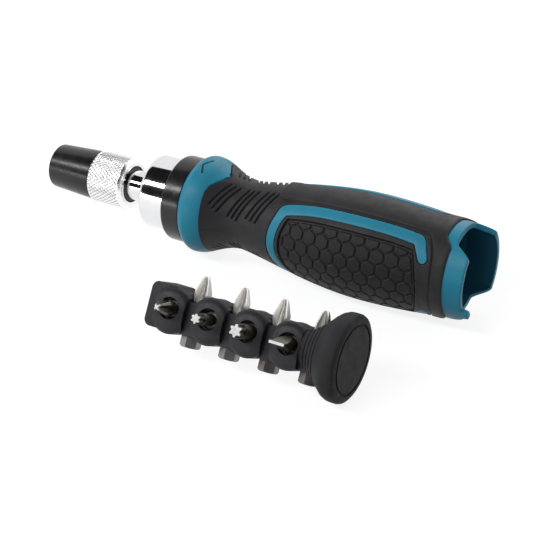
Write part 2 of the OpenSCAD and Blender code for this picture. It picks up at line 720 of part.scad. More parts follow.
// Cartridge, in its own frame: axis along X, upright bits along Z, lying bits towards -Y
module in_cartridge() {
    translate([cartridge_x, -cartridge_y, -cartridge_drop]) rotate([-cartridge_roll, 0, 0]) children();
}
module lying(i) { translate([2 * i * bit_pitch, 0, -lying_down]) rotate([90, 0, 0]) children(); }
module upright(i) { translate([(2 * i + 1) * bit_pitch, -upright_near, 0]) children(); }
module hex_hole() {
    translate([0, 0, -bit_len]) rotate([0, 0, 30]) cylinder(h = 2 * bit_len, r = flat_r / cos(30), $fn = 6);
}
module rounded_plate(half_w, half_h, r, t) {
    linear_extrude(t) union() {
        square([2 * half_w - 2 * r, 2 * half_h], center = true);
        square([2 * half_w, 2 * half_h - 2 * r], center = true);
        for (sx = [-1, 1]) for (sy = [-1, 1]) translate([sx * (half_w - r), sy * (half_h - r)]) circle(r = r);
    }
}
module bit_carrier() {
    plate_half_w = (plate_reach + 2) / 2;
    plate_half_h = cell_half_h - 0.3;
    plate_near = cell_near - 2;
    corner = 2.5;
    // Radius and height of each step of a rounded cell's domed face
    dome = [[cell_half_h, -1.2], [cell_half_h, cell_near - 2], [cell_half_h - 0.6, cell_near - 1.2],
        [cell_half_h - 1.8, cell_near - 0.5], [cell_half_h - 3.6, cell_near - 0.1], [hex_af / 2, cell_near]];
    body_top = carrier_top + 2.8;
    cell_low = 0.7;
    hole_r = flat_r / cos(30) + 0.1;
    hole_depth = 2.5;
    last_end = arm_x - 6 * bit_pitch - 0.1;
    color("#1d1d20") in_cartridge() difference() {
        union() {
            translate([web_x, -web_half_d - upright_near, -carrier_bottom])
                cube([carrier_end - web_x, 2 * web_half_d, carrier_top + carrier_bottom]);
            translate([web_x, 0.5, -carrier_bottom + 1])
                cube([arm_x - 0.1 - web_x, carrier_half_d - 0.5, carrier_bottom - 1 + body_top]);
            translate([plate_half_w - plate_reach, carrier_half_d - 0.4, -lying_down]) rotate([90, 0, 0])
                rounded_plate(plate_half_w, plate_half_h, corner, plate_near + carrier_half_d - 0.4);
            for (i = [0 : 3]) lying(i) translate([0, -cell_low, 0]) intersection() {
                rotate_extrude() polygon(concat([[0, -1.2]], dome, [[0, cell_near]]));
                translate([-cell_half_w, -bit_len, -bit_len])
                    cube([cell_half_w + (i < 3 ? cell_half_w : last_end), 2 * bit_len, 2 * bit_len]);
            }
        }
        for (i = [0 : 3]) {
            lying(i) hex_hole();
            lying(i) translate([0, 0, cell_near - hole_depth]) cylinder(h = hole_depth + 1, r = hole_r);
            upright(i) hex_hole();
        }
    }
}
// Rubber cap: two ribbed arms that hug the last upright cell and flare into a rounded disc
module cartridge_cap() {
    void_half = carrier_half_d - 0.2;
    void_end = arm_x + cap_len * 0.54;
    groove_r = cap_r * 0.78;
    face_x = arm_x + cap_len;
    // Share of the flare's rise and of the cap's length at each step of the outline
    shares = [[0, 0], [0.12, 0.15], [0.27, 0.27], [0.48, 0.41], [0.72, 0.53], [0.9, 0.63], [0.985, 0.72],
        [1, 0.79], [1, 0.9], [0.955, 0.95], [0.84, 0.985], [0.63, 1]];
    flare = [for (p = shares) [cap_root_r + (cap_r - cap_root_r) * p[0], arm_x + cap_len * p[1]]];
    radius_at = [for (p = flare) [p[1], p[0]]];
    color("#202023") in_cartridge() difference() {
        turned(concat([[0, arm_x]], flare, [[0, face_x]]));
        translate([arm_x - 1, -web_half_d - upright_near, -carrier_bottom])
            cube([carrier_end - arm_x + 1, 2 * web_half_d, carrier_top + carrier_bottom]);
        for (z = [carrier_top - 0.5, -carrier_bottom - cap_r + 0.5])
            translate([arm_x - 1, -void_half, z]) cube([void_end - arm_x + 1, 2 * void_half, cap_r]);
        for (i = [0 : 3]) let (x = arm_x + 1.8 + 1.5 * i)
            tube(x, x + 0.5, lookup(x + 0.25, radius_at) - 0.35, cap_r + 1);
        tube(face_x - 0.5, face_x + 1, groove_r - 0.5, groove_r + 0.5);
    }
}

// Bits, with the tip towards +Z and the hexagon's end at z = 0
module bit_shank(shaft_r, shaft_end) {
    chamfer = 0.5;
    corner_r = hex_af / 2 / cos(30);
    intersection() {
        rotate([0, 0, 30]) cylinder(h = bit_hex_len, r = corner_r, $fn = 6);
        rotate_extrude() polygon([[0, 0], [corner_r - chamfer, 0], [corner_r, chamfer],
            [corner_r, bit_hex_len - chamfer], [corner_r - 2 * chamfer, bit_hex_len], [0, bit_hex_len]]);
    }
    translate([0, 0, bit_hex_len - 1]) cylinder(h = shaft_end - bit_hex_len + 1, r = shaft_r);
}
module cross_tip(tip_r, shaft_r) {
    tip_len = 10;
    blunt = 0.8;
    rib = 0.4;
    flute_tilt = 6;
    color("#b9b6b0") union() {
        bit_shank(shaft_r, bit_len - tip_len);
        difference() {
            translate([0, 0, bit_len - tip_len]) rotate_extrude() polygon([[0, -0.5], [shaft_r, -0.5],
                [tip_r, 1.5], [tip_r, tip_len - tip_r * 1.8], [blunt + 0.6, tip_len - 0.9],
                [blunt, tip_len], [0, tip_len]]);
            for (a = [0 : 90 : 270]) rotate([0, 0, a]) translate([rib, 0, bit_len])
                rotate([0, -flute_tilt, 0]) rotate([0, 0, -45])
                    translate([0, 0, -tip_len + 1]) cube([tip_r * 2, tip_r * 2, tip_len]);
        }
    }
}
module star_tip(tip_r) {
    tip_len = 4;
    color("#b9b6b0") union() {
        bit_shank(tip_r + 0.4, bit_len - tip_len);
        translate([0, 0, bit_len - tip_len - 0.5]) linear_extrude(tip_len + 0.5) difference() {
            circle(r = tip_r);
            for (k = [0 : 5]) rotate([0, 0, 60 * k]) translate([tip_r * 1.06, 0])
                circle(r = tip_r * 0.36, $fn = 24);
        }
    }
}
module slotted_tip(blade_w, blade_t) {
    tip_len = 9;
    shaft_r = 2.4;
    root = bit_len - tip_len - 0.5;
    root_half = shaft_r + 0.8;
    blade_x = bit_len - 2;
    color("#b9b6b0") union() {
        bit_shank(shaft_r, bit_len - tip_len);
        intersection() {
            translate([0, 0, root]) cylinder(h = tip_len + 0.5, r = blade_w / 2);
            rotate([90, 0, 90]) translate([0, 0, -blade_w]) linear_extrude(2 * blade_w)
                polygon([[-root_half, root - 1], [root_half, root - 1], [blade_t / 2, blade_x],
                    [blade_t / 2, bit_len + 1], [-blade_t / 2, bit_len + 1], [-blade_t / 2, blade_x]]);
        }
    }
}
module lying_bit(i) { in_cartridge() lying(i) translate([0, 0, bit_out - bit_len / 2]) children(); }
module upright_bit(i) { in_cartridge() upright(i) translate([0, 0, -bit_down]) children(); }
module cross_bit_front() { lying_bit(0) cross_tip(2.9, 2.4); }
module star_bit_small() { lying_bit(1) star_tip(1.65); }
module star_bit_large() { lying_bit(2) star_tip(2.2); }
module slotted_bit() { lying_bit(3) slotted_tip(5.5, 0.9); }
module cross_bit_1() { upright_bit(0) cross_tip(3, 2.3); }
module cross_bit_2() { upright_bit(1) cross_tip(2.7, 2.2); }
module cross_bit_3() { upright_bit(2) cross_tip(3, 2.4); }
module cross_bit_4() { upright_bit(3) cross_tip(2.6, 2.2); }

nose_cap();
knurled_collar();
sleeve_spring();
spring_washer();
rear_clip();
front_clip();
spindle();
socket_magnet();
locking_ball();
ratchet_gear();
spindle_circlip();
ratchet_housing();
front_bush();
rear_bush();
rocker_pawl();
pawl_pin();
selector_ring();
selector_plunger();
plunger_spring();
handle_core();
soft_grip();
near_grip_panel();
far_grip_panel();
bit_carrier();
cartridge_cap();
cross_bit_front();
star_bit_small();
star_bit_large();
slotted_bit();
cross_bit_1();
cross_bit_2();
cross_bit_3();
cross_bit_4();
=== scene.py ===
import json
import math

import bmesh
import bpy
import numpy as np
from mathutils import Matrix, Vector


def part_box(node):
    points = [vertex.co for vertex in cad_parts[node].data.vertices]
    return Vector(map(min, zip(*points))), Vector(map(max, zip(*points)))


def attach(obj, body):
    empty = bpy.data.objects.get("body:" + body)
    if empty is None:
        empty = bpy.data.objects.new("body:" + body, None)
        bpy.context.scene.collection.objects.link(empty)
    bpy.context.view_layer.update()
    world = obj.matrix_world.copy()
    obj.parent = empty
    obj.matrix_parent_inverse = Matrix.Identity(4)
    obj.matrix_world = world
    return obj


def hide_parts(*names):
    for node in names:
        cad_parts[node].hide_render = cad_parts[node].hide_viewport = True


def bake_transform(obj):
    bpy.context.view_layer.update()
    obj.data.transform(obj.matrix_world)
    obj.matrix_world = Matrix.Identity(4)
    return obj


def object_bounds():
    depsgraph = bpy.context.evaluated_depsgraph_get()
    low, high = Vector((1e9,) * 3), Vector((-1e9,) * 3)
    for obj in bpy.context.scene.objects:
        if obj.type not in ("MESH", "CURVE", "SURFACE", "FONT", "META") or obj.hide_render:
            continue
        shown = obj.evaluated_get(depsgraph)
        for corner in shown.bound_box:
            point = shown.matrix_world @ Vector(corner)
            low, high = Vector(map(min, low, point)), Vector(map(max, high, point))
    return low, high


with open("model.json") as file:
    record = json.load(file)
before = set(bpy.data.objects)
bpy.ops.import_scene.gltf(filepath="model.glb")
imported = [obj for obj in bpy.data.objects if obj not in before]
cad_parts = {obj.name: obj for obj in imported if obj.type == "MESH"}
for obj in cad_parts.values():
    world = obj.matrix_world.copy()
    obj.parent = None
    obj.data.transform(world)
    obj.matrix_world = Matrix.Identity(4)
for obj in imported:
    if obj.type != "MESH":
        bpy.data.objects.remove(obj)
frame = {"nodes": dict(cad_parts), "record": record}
cad_low, cad_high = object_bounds()

MM = 0.001


# Stations and radii in millimetres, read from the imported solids
def start_of(node):
    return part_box(node)[0].x / MM


def end_of(node):
    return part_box(node)[1].x / MM


def radius_of(node):
    low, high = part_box(node)
    return (high.z - low.z) / 2 / MM


nose_x, nose_end = start_of("nose_cap"), start_of("knurled_collar")
collar_end = end_of("knurled_collar")
collar_r = radius_of("knurled_collar")
housing_x = start_of("ratchet_housing")
housing_end = end_of("ratchet_housing")
housing_r = radius_of("ratchet_housing")
selector_x, selector_end = start_of("selector_ring"), end_of("selector_ring")
selector_r = radius_of("selector_ring")
flange_x = start_of("handle_core")
grip_x, grip_end = start_of("soft_grip"), end_of("soft_grip")
belly_r = radius_of("soft_grip")

# Sizes of the release sleeve and the ratchet
nose_front_r = 8.7
nose_rear_r = 9.8
nose_straight = 3.0
nose_mouth_r = 7.2
nose_mouth_depth = 2.35
nose_step_depth = 6.5
sleeve_bore = 6.05
collar_bore = 8.3
collar_lip = 7.35
spigot_len = 7.2
spring_wire_r = 0.3
spring_turns = 3
spring_end_turns = 0.6
spring_gap = 0.05
knurl_lines = 42
knurl_depth = 0.3
knurl_lead = 2.1
knurl_start = 0.5
knurl_stop = 1.5
stem_r = 6.0
seat_r = 14.3
tail_r = 12.2
front_bush_r = 8.2
press_fit = 0.01
joint_gap = 0.02

# Sizes of the handle
flange_r = 18.8
flange_crest = 0.35
grip_front_r = 17.2
neck_r = 13.4
neck_x = grip_x + 13.0
belly_x = neck_x + 51.5
taper_x = belly_x + 27.0
rear_r = 18.4
skin_t = 1.8
rim_r = 17.6
rim_end = grip_end + 7.2
rim_corner = 2.4
rim_lip = 0.4
rim_bevel = 0.2
mouth_r = 15.6
mouth_depth = 12.0
bay_r = 13.3
bay_len = 77.0
rim_scoop = 6.0
rubber_scoop = 3.2

# Places on the grip, whose pattern is rolled a little about the axis
grip_roll = math.radians(7.0)
rim_roll = math.radians(-2.0)
band_x = neck_x + 15.9
band_run = 27.0
band_rise = 1.0
band_deg = 17.0
band_step = 0.4
rib_w = 0.85
rib_depth = 0.85
rib_clear = 2.5
stripe_x = neck_x + 15.5
stripe_w = 4.2
front_leg_w = 3.6
rear_leg_w = 3.3
stripe_corner = 1.4
stripe_bow = 21.2
stripe_apex = 2.0
stripe_recess = 0.75
run_deg = 60.5
run_front_fall = 5.6
run_rear_fall = 1.8
run_clear = 4.0
leg_clear = 2.6
rear_leg_x = taper_x - 2.7
rear_leg_z = 14.7
rear_leg_low = 11.4
rear_leg_slant = 0.667
panel_x = stripe_x + 5.8
panel_end = panel_x + 55.0
panel_front_bow = 20.0
panel_rear_bow = 31.6
panel_deg = 46.2
panel_front_fall = 4.5
panel_rear_fall = 2.0
panel_recess = 1.15
panel_drop = 0.08
panel_back = 1.3
front_fall_x = neck_x + 38.7
front_fall_run = 17.5
rear_fall_x = taper_x - 17.8
rear_fall_run = 12.0
cell_pitch = 5.5
cell_row = 4.85
cell_x = panel_x + cell_pitch / 3
cell_groove = 0.75
cell_depth = 0.6
tongue_end = grip_x + 4.9
tongue_root_half = 9.5
tongue_tip_half = 0.7
tongue_root = 1.2
tongue_t = 1.2
tongue_recess = 0.8
rear_crease_x = taper_x + 3.6
rear_crease_bend = 4.6
rear_crease_depth = 0.45
parting_depth = 0.16
grip_edge = 0.9


# Small functions for shapes
def smooth(low, high, value):
    t = np.clip((value - low) / (high - low), 0.0, 1.0)
    return t * t * (3.0 - 2.0 * t)


def window(value, low, high, soft):
    """One between low and high, nought outside, with edges as wide as soft."""
    rise = smooth(low - soft / 2, low + soft / 2, value)
    return rise * (1.0 - smooth(high - soft / 2, high + soft / 2, value))


def ease(t):
    return np.sin(np.pi / 2 * np.clip(t, 0.0, 1.0))


def grip_radius(x):
    """Plain radius of the soft grip at a station along the handle."""
    x = np.asarray(x, float)
    neck = grip_front_r - (grip_front_r - neck_r) * ease((x - grip_x) / (neck_x - grip_x))
    belly = neck_r + (belly_r - neck_r) * ease((x - neck_x) / (belly_x - neck_x)) ** 1.25
    fall = 1.0 - np.cos(np.pi / 2 * np.clip((x - belly_x) / (taper_x - belly_x), 0.0, 1.0))
    rear = belly_r - (belly_r - rear_r) * fall
    return np.where(x < neck_x, neck, np.where(x < belly_x, belly, rear))


def side_angle(phi, roll):
    """Angle in degrees from the middle of the nearest side, near or far, positive towards the top."""
    turned = np.degrees(phi - roll) % 360.0
    near = 180.0 - turned
    far = np.where(turned > 180.0, turned - 360.0, turned)
    return np.where((turned > 90.0) & (turned < 270.0), near, far)


def on_axis(x, r, phi):
    """Points at a station, a radius and an angle round the X axis; 90 degrees is the top."""
    x, r, phi = np.broadcast_arrays(x, r, phi)
    return np.stack([x, r * np.cos(phi), r * np.sin(phi)], axis=-1)


def on_side(x, r, sigma, side):
    """Points at an angle from the middle of the rolled near (-1) or far (1) side of the grip."""
    phi = grip_roll + (sigma if side > 0 else np.pi - sigma)
    return on_axis(x, r, phi)


def turn_angles(count):
    return np.linspace(0.0, 2 * np.pi, count, endpoint=False)


def filleted(points, radii, steps=5):
    """Closed outline whose corners are rounded by the given radii."""
    made = []
    count = len(points)
    for i, (corner, radius) in enumerate(zip(points, radii)):
        corner = np.array(corner, float)
        before = np.array(points[i - 1], float) - corner
        after = np.array(points[(i + 1) % count], float) - corner
        reach = min(radius, np.linalg.norm(before) * 0.48, np.linalg.norm(after) * 0.48)
        if reach < 1e-6:
            made.append(corner)
            continue
        a = corner + before / np.linalg.norm(before) * reach
        b = corner + after / np.linalg.norm(after) * reach
        for t in np.linspace(0.0, 1.0, steps):
            made.append((1 - t) ** 2 * a + 2 * t * (1 - t) * corner + t * t * b)
    return np.array(made)


def ring_faces(rows, columns):
    """Quads of a grid that closes on itself both ways."""
    faces = []
    for i in range(rows):
        j = (i + 1) % rows
        for k in range(columns):
            m = (k + 1) % columns
            faces.append((i * columns + k, i * columns + m, j * columns + m, j * columns + k))
    return faces


def slab_faces(rows, columns):
    """Quads of two equal grids, one over the other, with walls round their edge."""
    faces = []
    low = rows * columns
    for i in range(rows - 1):
        for k in range(columns - 1):
            a = i * columns + k
            b = a + columns
            faces.append((a, a + 1, b + 1, b))
            faces.append((low + a, low + b, low + b + 1, low + a + 1))
    edge = [k for k in range(columns)]
    edge += [i * columns + columns - 1 for i in range(1, rows)]
    edge += [(rows - 1) * columns + k for k in range(columns - 2, -1, -1)]
    edge += [i * columns for i in range(rows - 2, 0, -1)]
    for a, b in zip(edge, edge[1:] + edge[:1]):
        faces.append((a, low + a, low + b, b))
    return faces


def tube_faces(rings, sides):
    """Quads of a closed section swept along a path, with a cap at each end."""
    faces = []
    for i in range(rings - 1):
        for k in range(sides):
            m = (k + 1) % sides
            faces.append((i * sides + k, i * sides + m, (i + 1) * sides + m, (i + 1) * sides + k))
    faces.append(tuple(range(sides - 1, -1, -1)))
    faces.append(tuple((rings - 1) * sides + k for k in range(sides)))
    return faces


def make_solid(name, points, faces, material, crease_deg=38.0):
    """A closed mesh from points in millimetres."""
    mesh = bpy.data.meshes.new(name)
    mesh.from_pydata((np.asarray(points).reshape(-1, 3) * MM).tolist(), [], faces)
    work = bmesh.new()
    work.from_mesh(mesh)
    bmesh.ops.recalc_face_normals(work, faces=work.faces)
    work.to_mesh(mesh)
    work.free()
    mesh.materials.append(material)
    mesh.shade_smooth()
    mesh.set_sharp_from_angle(angle=math.radians(crease_deg))
    piece = bpy.data.objects.new(name, mesh)
    bpy.context.scene.collection.objects.link(piece)
    return piece


def add_solid(name, points, faces, material, body, crease_deg=38.0):
    """A closed mesh from points in millimetres, riding on a body."""
    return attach(make_solid(name, points, faces, material, crease_deg), body)


def add_turned(name, outline, material, body, count=160):
    """A closed outline of (x, radius) points turned about the X axis."""
    outline = np.asarray(outline, float)
    phi = turn_angles(count)
    points = on_axis(outline[:, 0:1], outline[:, 1:2], phi[None, :])
    return add_solid(name, points, ring_faces(len(outline), count), material, body)


# Materials
# Pointiness at which an edge starts to get lighter, partly as rubbed wear and partly as a painted
# highlight, and a hollow darker as painted shade, and at which each is so in full
POINTED_WEAR_AND_HIGHLIGHT = (0.51, 0.60)
HOLLOW_SHADE_POINTINESS = (0.49, 0.40)
SHANK_METALLIC = 0.75


def noise_node(tree, coords, scale, detail=3.0, stretch=(1.0, 1.0, 1.0)):
    """A noise texture on the piece's own coordinates, its scale in waves per metre."""
    mapping = tree.nodes.new("ShaderNodeMapping")
    mapping.inputs["Scale"].default_value = stretch
    tree.links.new(coords.outputs["Object"], mapping.inputs["Vector"])
    noise = tree.nodes.new("ShaderNodeTexNoise")
    noise.inputs["Scale"].default_value = scale
    noise.inputs["Detail"].default_value = detail
    tree.links.new(mapping.outputs["Vector"], noise.inputs["Vector"])
    return noise


def mix_by_shape(tree, painted, start, full, amount, colour):
    """Mixes a colour in where the mesh's pointiness goes from start to full."""
    geometry = tree.nodes.new("ShaderNodeNewGeometry")
    share = tree.nodes.new("ShaderNodeMapRange")
    share.inputs["From Min"].default_value = start
    share.inputs["From Max"].default_value = full
    share.inputs["To Max"].default_value = amount
    tree.links.new(geometry.outputs["Pointiness"], share.inputs["Value"])
    mixed = tree.nodes.new("ShaderNodeMix")
    mixed.data_type = "RGBA"
    mixed.inputs["B"].default_value = (*colour, 1.0)
    tree.links.new(share.outputs["Result"], mixed.inputs["Factor"])
    tree.links.new(painted, mixed.inputs["A"])
    return mixed.outputs["Result"]


def finish(name, colour, roughness, metallic=0.0, coat=0.0, spread=0.12, patch=160.0,
           rough_spread=0.06, grain=2600.0, grain_depth=0.00001, grain_strength=0.25,
           stretch=(1.0, 1.0, 1.0), edge_wear_and_highlight=0.0, hollow_shade=0.0, specular=0.5):
    """A surface whose colour and gloss vary a little, with a fine grain, lighter edges that are partly
    rubbed wear and partly a painted highlight, and painted shade in its hollows.
    """
    material = bpy.data.materials.new(name)
    material.use_nodes = True
    tree = material.node_tree
    shader = tree.nodes["Principled BSDF"]
    shader.inputs["Metallic"].default_value = metallic
    shader.inputs["Coat Weight"].default_value = coat
    shader.inputs["Coat Roughness"].default_value = 0.12
    shader.inputs["Specular IOR Level"].default_value = specular
    coords = tree.nodes.new("ShaderNodeTexCoord")

    patches = noise_node(tree, coords, patch, 4.0, stretch)
    ramp = tree.nodes.new("ShaderNodeValToRGB")
    ramp.color_ramp.elements[0].position = 0.3
    ramp.color_ramp.elements[1].position = 0.7
    ramp.color_ramp.elements[0].color = (*[c * (1.0 - spread) for c in colour], 1.0)
    ramp.color_ramp.elements[1].color = (*[min(1.0, c * (1.0 + spread)) for c in colour], 1.0)
    tree.links.new(patches.outputs["Fac"], ramp.inputs["Fac"])
    painted = ramp.outputs["Color"]
    # Edges lightened by pointiness: partly rubbed wear, partly a painted highlight
    if edge_wear_and_highlight > 0.0:
        rubbed_and_highlight = [min(1.0, c * 1.9 + 0.03) for c in colour]
        painted = mix_by_shape(tree, painted, *POINTED_WEAR_AND_HIGHLIGHT, edge_wear_and_highlight, rubbed_and_highlight)
    # Painted shade: hollows darkened by pointiness
    if hollow_shade > 0.0:
        hollow_shade_colour = [c * 0.15 for c in colour]
        painted = mix_by_shape(tree, painted, *HOLLOW_SHADE_POINTINESS, hollow_shade, hollow_shade_colour)
    tree.links.new(painted, shader.inputs["Base Color"])

    gloss = tree.nodes.new("ShaderNodeMapRange")
    gloss.inputs["From Min"].default_value = 0.3
    gloss.inputs["From Max"].default_value = 0.7
    gloss.inputs["To Min"].default_value = max(0.02, roughness - rough_spread)
    gloss.inputs["To Max"].default_value = min(1.0, roughness + rough_spread)
    smudges = noise_node(tree, coords, patch * 2.3, 5.0, stretch)
    tree.links.new(smudges.outputs["Fac"], gloss.inputs["Value"])
    tree.links.new(gloss.outputs["Result"], shader.inputs["Roughness"])

    fine = noise_node(tree, coords, grain, 2.0, stretch)
    bump = tree.nodes.new("ShaderNodeBump")
    bump.inputs["Strength"].default_value = grain_strength
    bump.inputs["Distance"].default_value = grain_depth
    tree.links.new(fine.outputs["Fac"], bump.inputs["Height"])
    tree.links.new(bump.outputs["Normal"], shader.inputs["Normal"])
    return material


def bit_finish(name, axis, start, end, shank, tip, tip_metallic):
    """Bit steel that turns from a dull shank to a bright tip along the bit's axis."""
    material = finish(name, tip, 0.32, spread=0.08, grain=2400.0, edge_wear_and_highlight=0.5, hollow_shade=0.4)
    tree = material.node_tree
    shader = tree.nodes["Principled BSDF"]
    patches = shader.inputs["Base Color"].links[0].from_socket
    coords = tree.nodes.new("ShaderNodeTexCoord")
    along = tree.nodes.new("ShaderNodeVectorMath")
    along.operation = "DOT_PRODUCT"
    along.inputs[1].default_value = axis
    tree.links.new(coords.outputs["Object"], along.inputs[0])
    place = tree.nodes.new("ShaderNodeMapRange")
    place.inputs["From Min"].default_value = start
    place.inputs["From Max"].default_value = end
    tree.links.new(along.outputs["Value"], place.inputs["Value"])
    shades = tree.nodes.new("ShaderNodeValToRGB")
    shades.color_ramp.elements[0].color = (*[dull / bright for dull, bright in zip(shank, tip)], 1.0)
    shades.color_ramp.elements[1].color = (1.0, 1.0, 1.0, 1.0)
    tree.links.new(place.outputs["Result"], shades.inputs["Fac"])
    shaded = tree.nodes.new("ShaderNodeMix")
    shaded.data_type = "RGBA"
    shaded.blend_type = "MULTIPLY"
    shaded.inputs["Factor"].default_value = 1.0
    tree.links.new(patches, shaded.inputs["A"])
    tree.links.new(shades.outputs["Color"], shaded.inputs["B"])
    tree.links.new(shaded.outputs["Result"], shader.inputs["Base Color"])
    gleam = tree.nodes.new("ShaderNodeMapRange")
    gleam.inputs["To Min"].default_value = SHANK_METALLIC
    gleam.inputs["To Max"].default_value = tip_metallic
    tree.links.new(place.outputs["Result"], gleam.inputs["Value"])
    tree.links.new(gleam.outputs["Result"], shader.inputs["Metallic"])
    return material


def knurl_painted_shade(name, plain):
    """Chrome with painted shade in the grooves between the diamonds, from the mesh's groove depth."""
    material = plain.copy()
    material.name = name
    tree = material.node_tree
    shader = tree.nodes["Principled BSDF"]
    patches = shader.inputs["Base Color"].links[0].from_socket
    depth = tree.nodes.new("ShaderNodeAttribute")
    depth.attribute_name = "groove"
    # Painted shade: the grooves darken towards this grey
    shade = tree.nodes.new("ShaderNodeMix")
    shade.data_type = "RGBA"
    shade.inputs["B"].default_value = (0.4, 0.4, 0.41, 1.0)
    tree.links.new(depth.outputs["Fac"], shade.inputs["Factor"])
    tree.links.new(patches, shade.inputs["A"])
    tree.links.new(shade.outputs["Result"], shader.inputs["Base Color"])
    return material


def bit_axis(joint_name):
    """Direction in which a bit slides out of the carrier, from the record's joints."""
    for joint in frame["record"]["behaviour"]["joints"]:
        if joint["name"] == joint_name:
            return Vector(joint["axis"])


# Grain drawn out round the axis, as on turned pieces
ROUND = (1.0, 0.05, 0.05)

# The edge setting of each finish lightens edges, partly as wear and partly as a painted highlight; the
# hollow setting paints shade into hollows
anodised = finish("anodised_black", (0.009, 0.009, 0.010), 0.3, coat=0.08, edge_wear_and_highlight=0.25, stretch=ROUND,
                  specular=0.32)
chrome = finish("chrome_plate", (0.78, 0.78, 0.80), 0.08, 1.0, spread=0.03, rough_spread=0.03,
                grain=1800.0, grain_strength=0.08, stretch=ROUND)
satin_chrome = finish("satin_chrome", (0.92, 0.92, 0.92), 0.28, 1.0, spread=0.03)
knurl_chrome_groove_shade = knurl_painted_shade("knurled_chrome_groove_shade", satin_chrome)
gloss_black = finish("gloss_black", (0.013, 0.013, 0.015), 0.24, coat=0.1, edge_wear_and_highlight=0.15, specular=0.34)
teal = finish("teal_plastic", (0.021, 0.222, 0.333), 0.42, spread=0.05, grain_strength=0.15, edge_wear_and_highlight=0.15,
              specular=0.2)
# Darker teal as painted shade on the inside of the bay
bay_shade_teal = finish("bay_shade_teal", (0.013, 0.09, 0.145), 0.5, spread=0.05, grain_strength=0.15, specular=0.05)
rubber = finish("black_rubber", (0.019, 0.018, 0.020), 0.56, spread=0.18, grain=3200.0,
                grain_depth=0.00003, grain_strength=0.35, edge_wear_and_highlight=0.45, hollow_shade=0.6, specular=0.25)
panel_rubber = finish("panel_rubber", (0.013, 0.013, 0.014), 0.6, spread=0.2, grain=2800.0,
                      grain_depth=0.00004, grain_strength=0.45, edge_wear_and_highlight=0.7, hollow_shade=0.6, specular=0.25)
plastic = finish("carrier_plastic", (0.012, 0.012, 0.015), 0.5, spread=0.15, grain=3000.0,
                 grain_depth=0.00002, grain_strength=0.3, edge_wear_and_highlight=0.3, specular=0.3)
cap_rubber = finish("cap_rubber", (0.030, 0.030, 0.032), 0.6, spread=0.15, grain=2600.0,
                    grain_depth=0.00004, grain_strength=0.4, edge_wear_and_highlight=0.3, specular=0.08)
spring_steel = finish("spring_steel", (0.42, 0.43, 0.45), 0.3, 1.0, spread=0.1)
tool_steel = finish("tool_steel", (0.36, 0.37, 0.39), 0.34, 1.0, spread=0.12)
black_steel = finish("blackened_steel", (0.012, 0.012, 0.013), 0.34, 0.3, spread=0.15)
bronze = finish("bearing_bronze", (0.45, 0.31, 0.15), 0.38, 1.0, spread=0.12)

# Shank and tip colour of each bit: the lying ones are dark, partly dark steel and partly painted shade
# where they lie in the carrier, and bright at the end only, partly ground steel and partly a painted
# highlight
OLIVE = (0.10, 0.093, 0.078)
GREY = (0.22, 0.22, 0.22)
BROWN = (0.15, 0.132, 0.125)
WHITE = (0.86, 0.86, 0.85)
CREAM = (0.82, 0.79, 0.74)
LYING_BITS = {"cross_bit_front": OLIVE, "star_bit_small": OLIVE, "star_bit_large": OLIVE,
              "slotted_bit": OLIVE}
UPRIGHT_BITS = {"cross_bit_1": GREY, "cross_bit_2": GREY, "cross_bit_3": BROWN, "cross_bit_4": BROWN}
NODE_MATERIALS = {
    chrome: ["spindle", "locking_ball", "selector_plunger"],
    spring_steel: ["front_clip", "spindle_circlip", "plunger_spring"],
    black_steel: ["rear_clip", "spring_washer"],
    tool_steel: ["socket_magnet", "ratchet_gear", "rocker_pawl", "pawl_pin"],
    bronze: ["front_bush", "rear_bush"],
    plastic: ["bit_carrier"],
    cap_rubber: ["cartridge_cap"],
}


def bit_materials(bits, tip, dull_to, bright_from, tip_metallic):
    """A steel for each bit, dull up to one distance from its tip and bright from another."""
    for name, shank in bits.items():
        axis = bit_axis(name + "_slide")
        end = max(axis.dot(vertex.co) for vertex in frame["nodes"][name].data.vertices)
        steel = bit_finish(name + "_steel", axis, end - dull_to * MM, end - bright_from * MM, shank, tip,
                           tip_metallic)
        NODE_MATERIALS[steel] = [name]


# Lying bits: the dark shank is partly painted shade, the bright, barely metallic end partly a painted
# highlight
bit_materials(LYING_BITS, WHITE, 0.9, 0.2, 0.3)
bit_materials(UPRIGHT_BITS, CREAM, 11.5, 8.5, 0.85)
SOFT_EDGES = {"bit_carrier": 0.45, "cartridge_cap": 0.3}
BIT_EDGE = 0.12


def dress_nodes():
    """Gives each solid that stays its material, and softens the edges of those in view."""
    for material, names in NODE_MATERIALS.items():
        for name in names:
            node = frame["nodes"][name]
            node.data.materials.clear()
            node.data.materials.append(material)
            width = SOFT_EDGES.get(name, BIT_EDGE if "bit" in name else 0.0)
            if width > 0.0:
                weld = node.modifiers.new("weld", "WELD")
                weld.merge_threshold = 0.002 * MM
                bevel = node.modifiers.new("soft_edges", "BEVEL")
                bevel.width = width * MM
                bevel.segments = 3
                bevel.limit_method = "ANGLE"
                bevel.angle_limit = math.radians(32)
                bevel.harden_normals = False


# Release sleeve
def add_nose():
    """Black nose cap: tapered outside, rounded lip, stepped bore and the spigot in the collar."""
    end = nose_end + spigot_len
    spigot_r = collar_bore - press_fit
    floor_x = nose_x + nose_mouth_depth
    outline = filleted(
        [(nose_x, nose_mouth_r), (nose_x, nose_front_r), (nose_end - nose_straight, nose_rear_r - 0.1),
         (nose_end, nose_rear_r), (nose_end, spigot_r), (end, spigot_r),
         (end, sleeve_bore), (nose_x + nose_step_depth, sleeve_bore + 0.8), (floor_x, sleeve_bore + 0.9),
         (floor_x, nose_mouth_r)],
        [0.5, 1.5, 3.0, 0.35, 0.1, 0.3, 0.3, 0.4, 0.1, 0.2])
    piece = add_turned("nose_shell", outline, anodised, "sleeve")
    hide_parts("nose_cap")


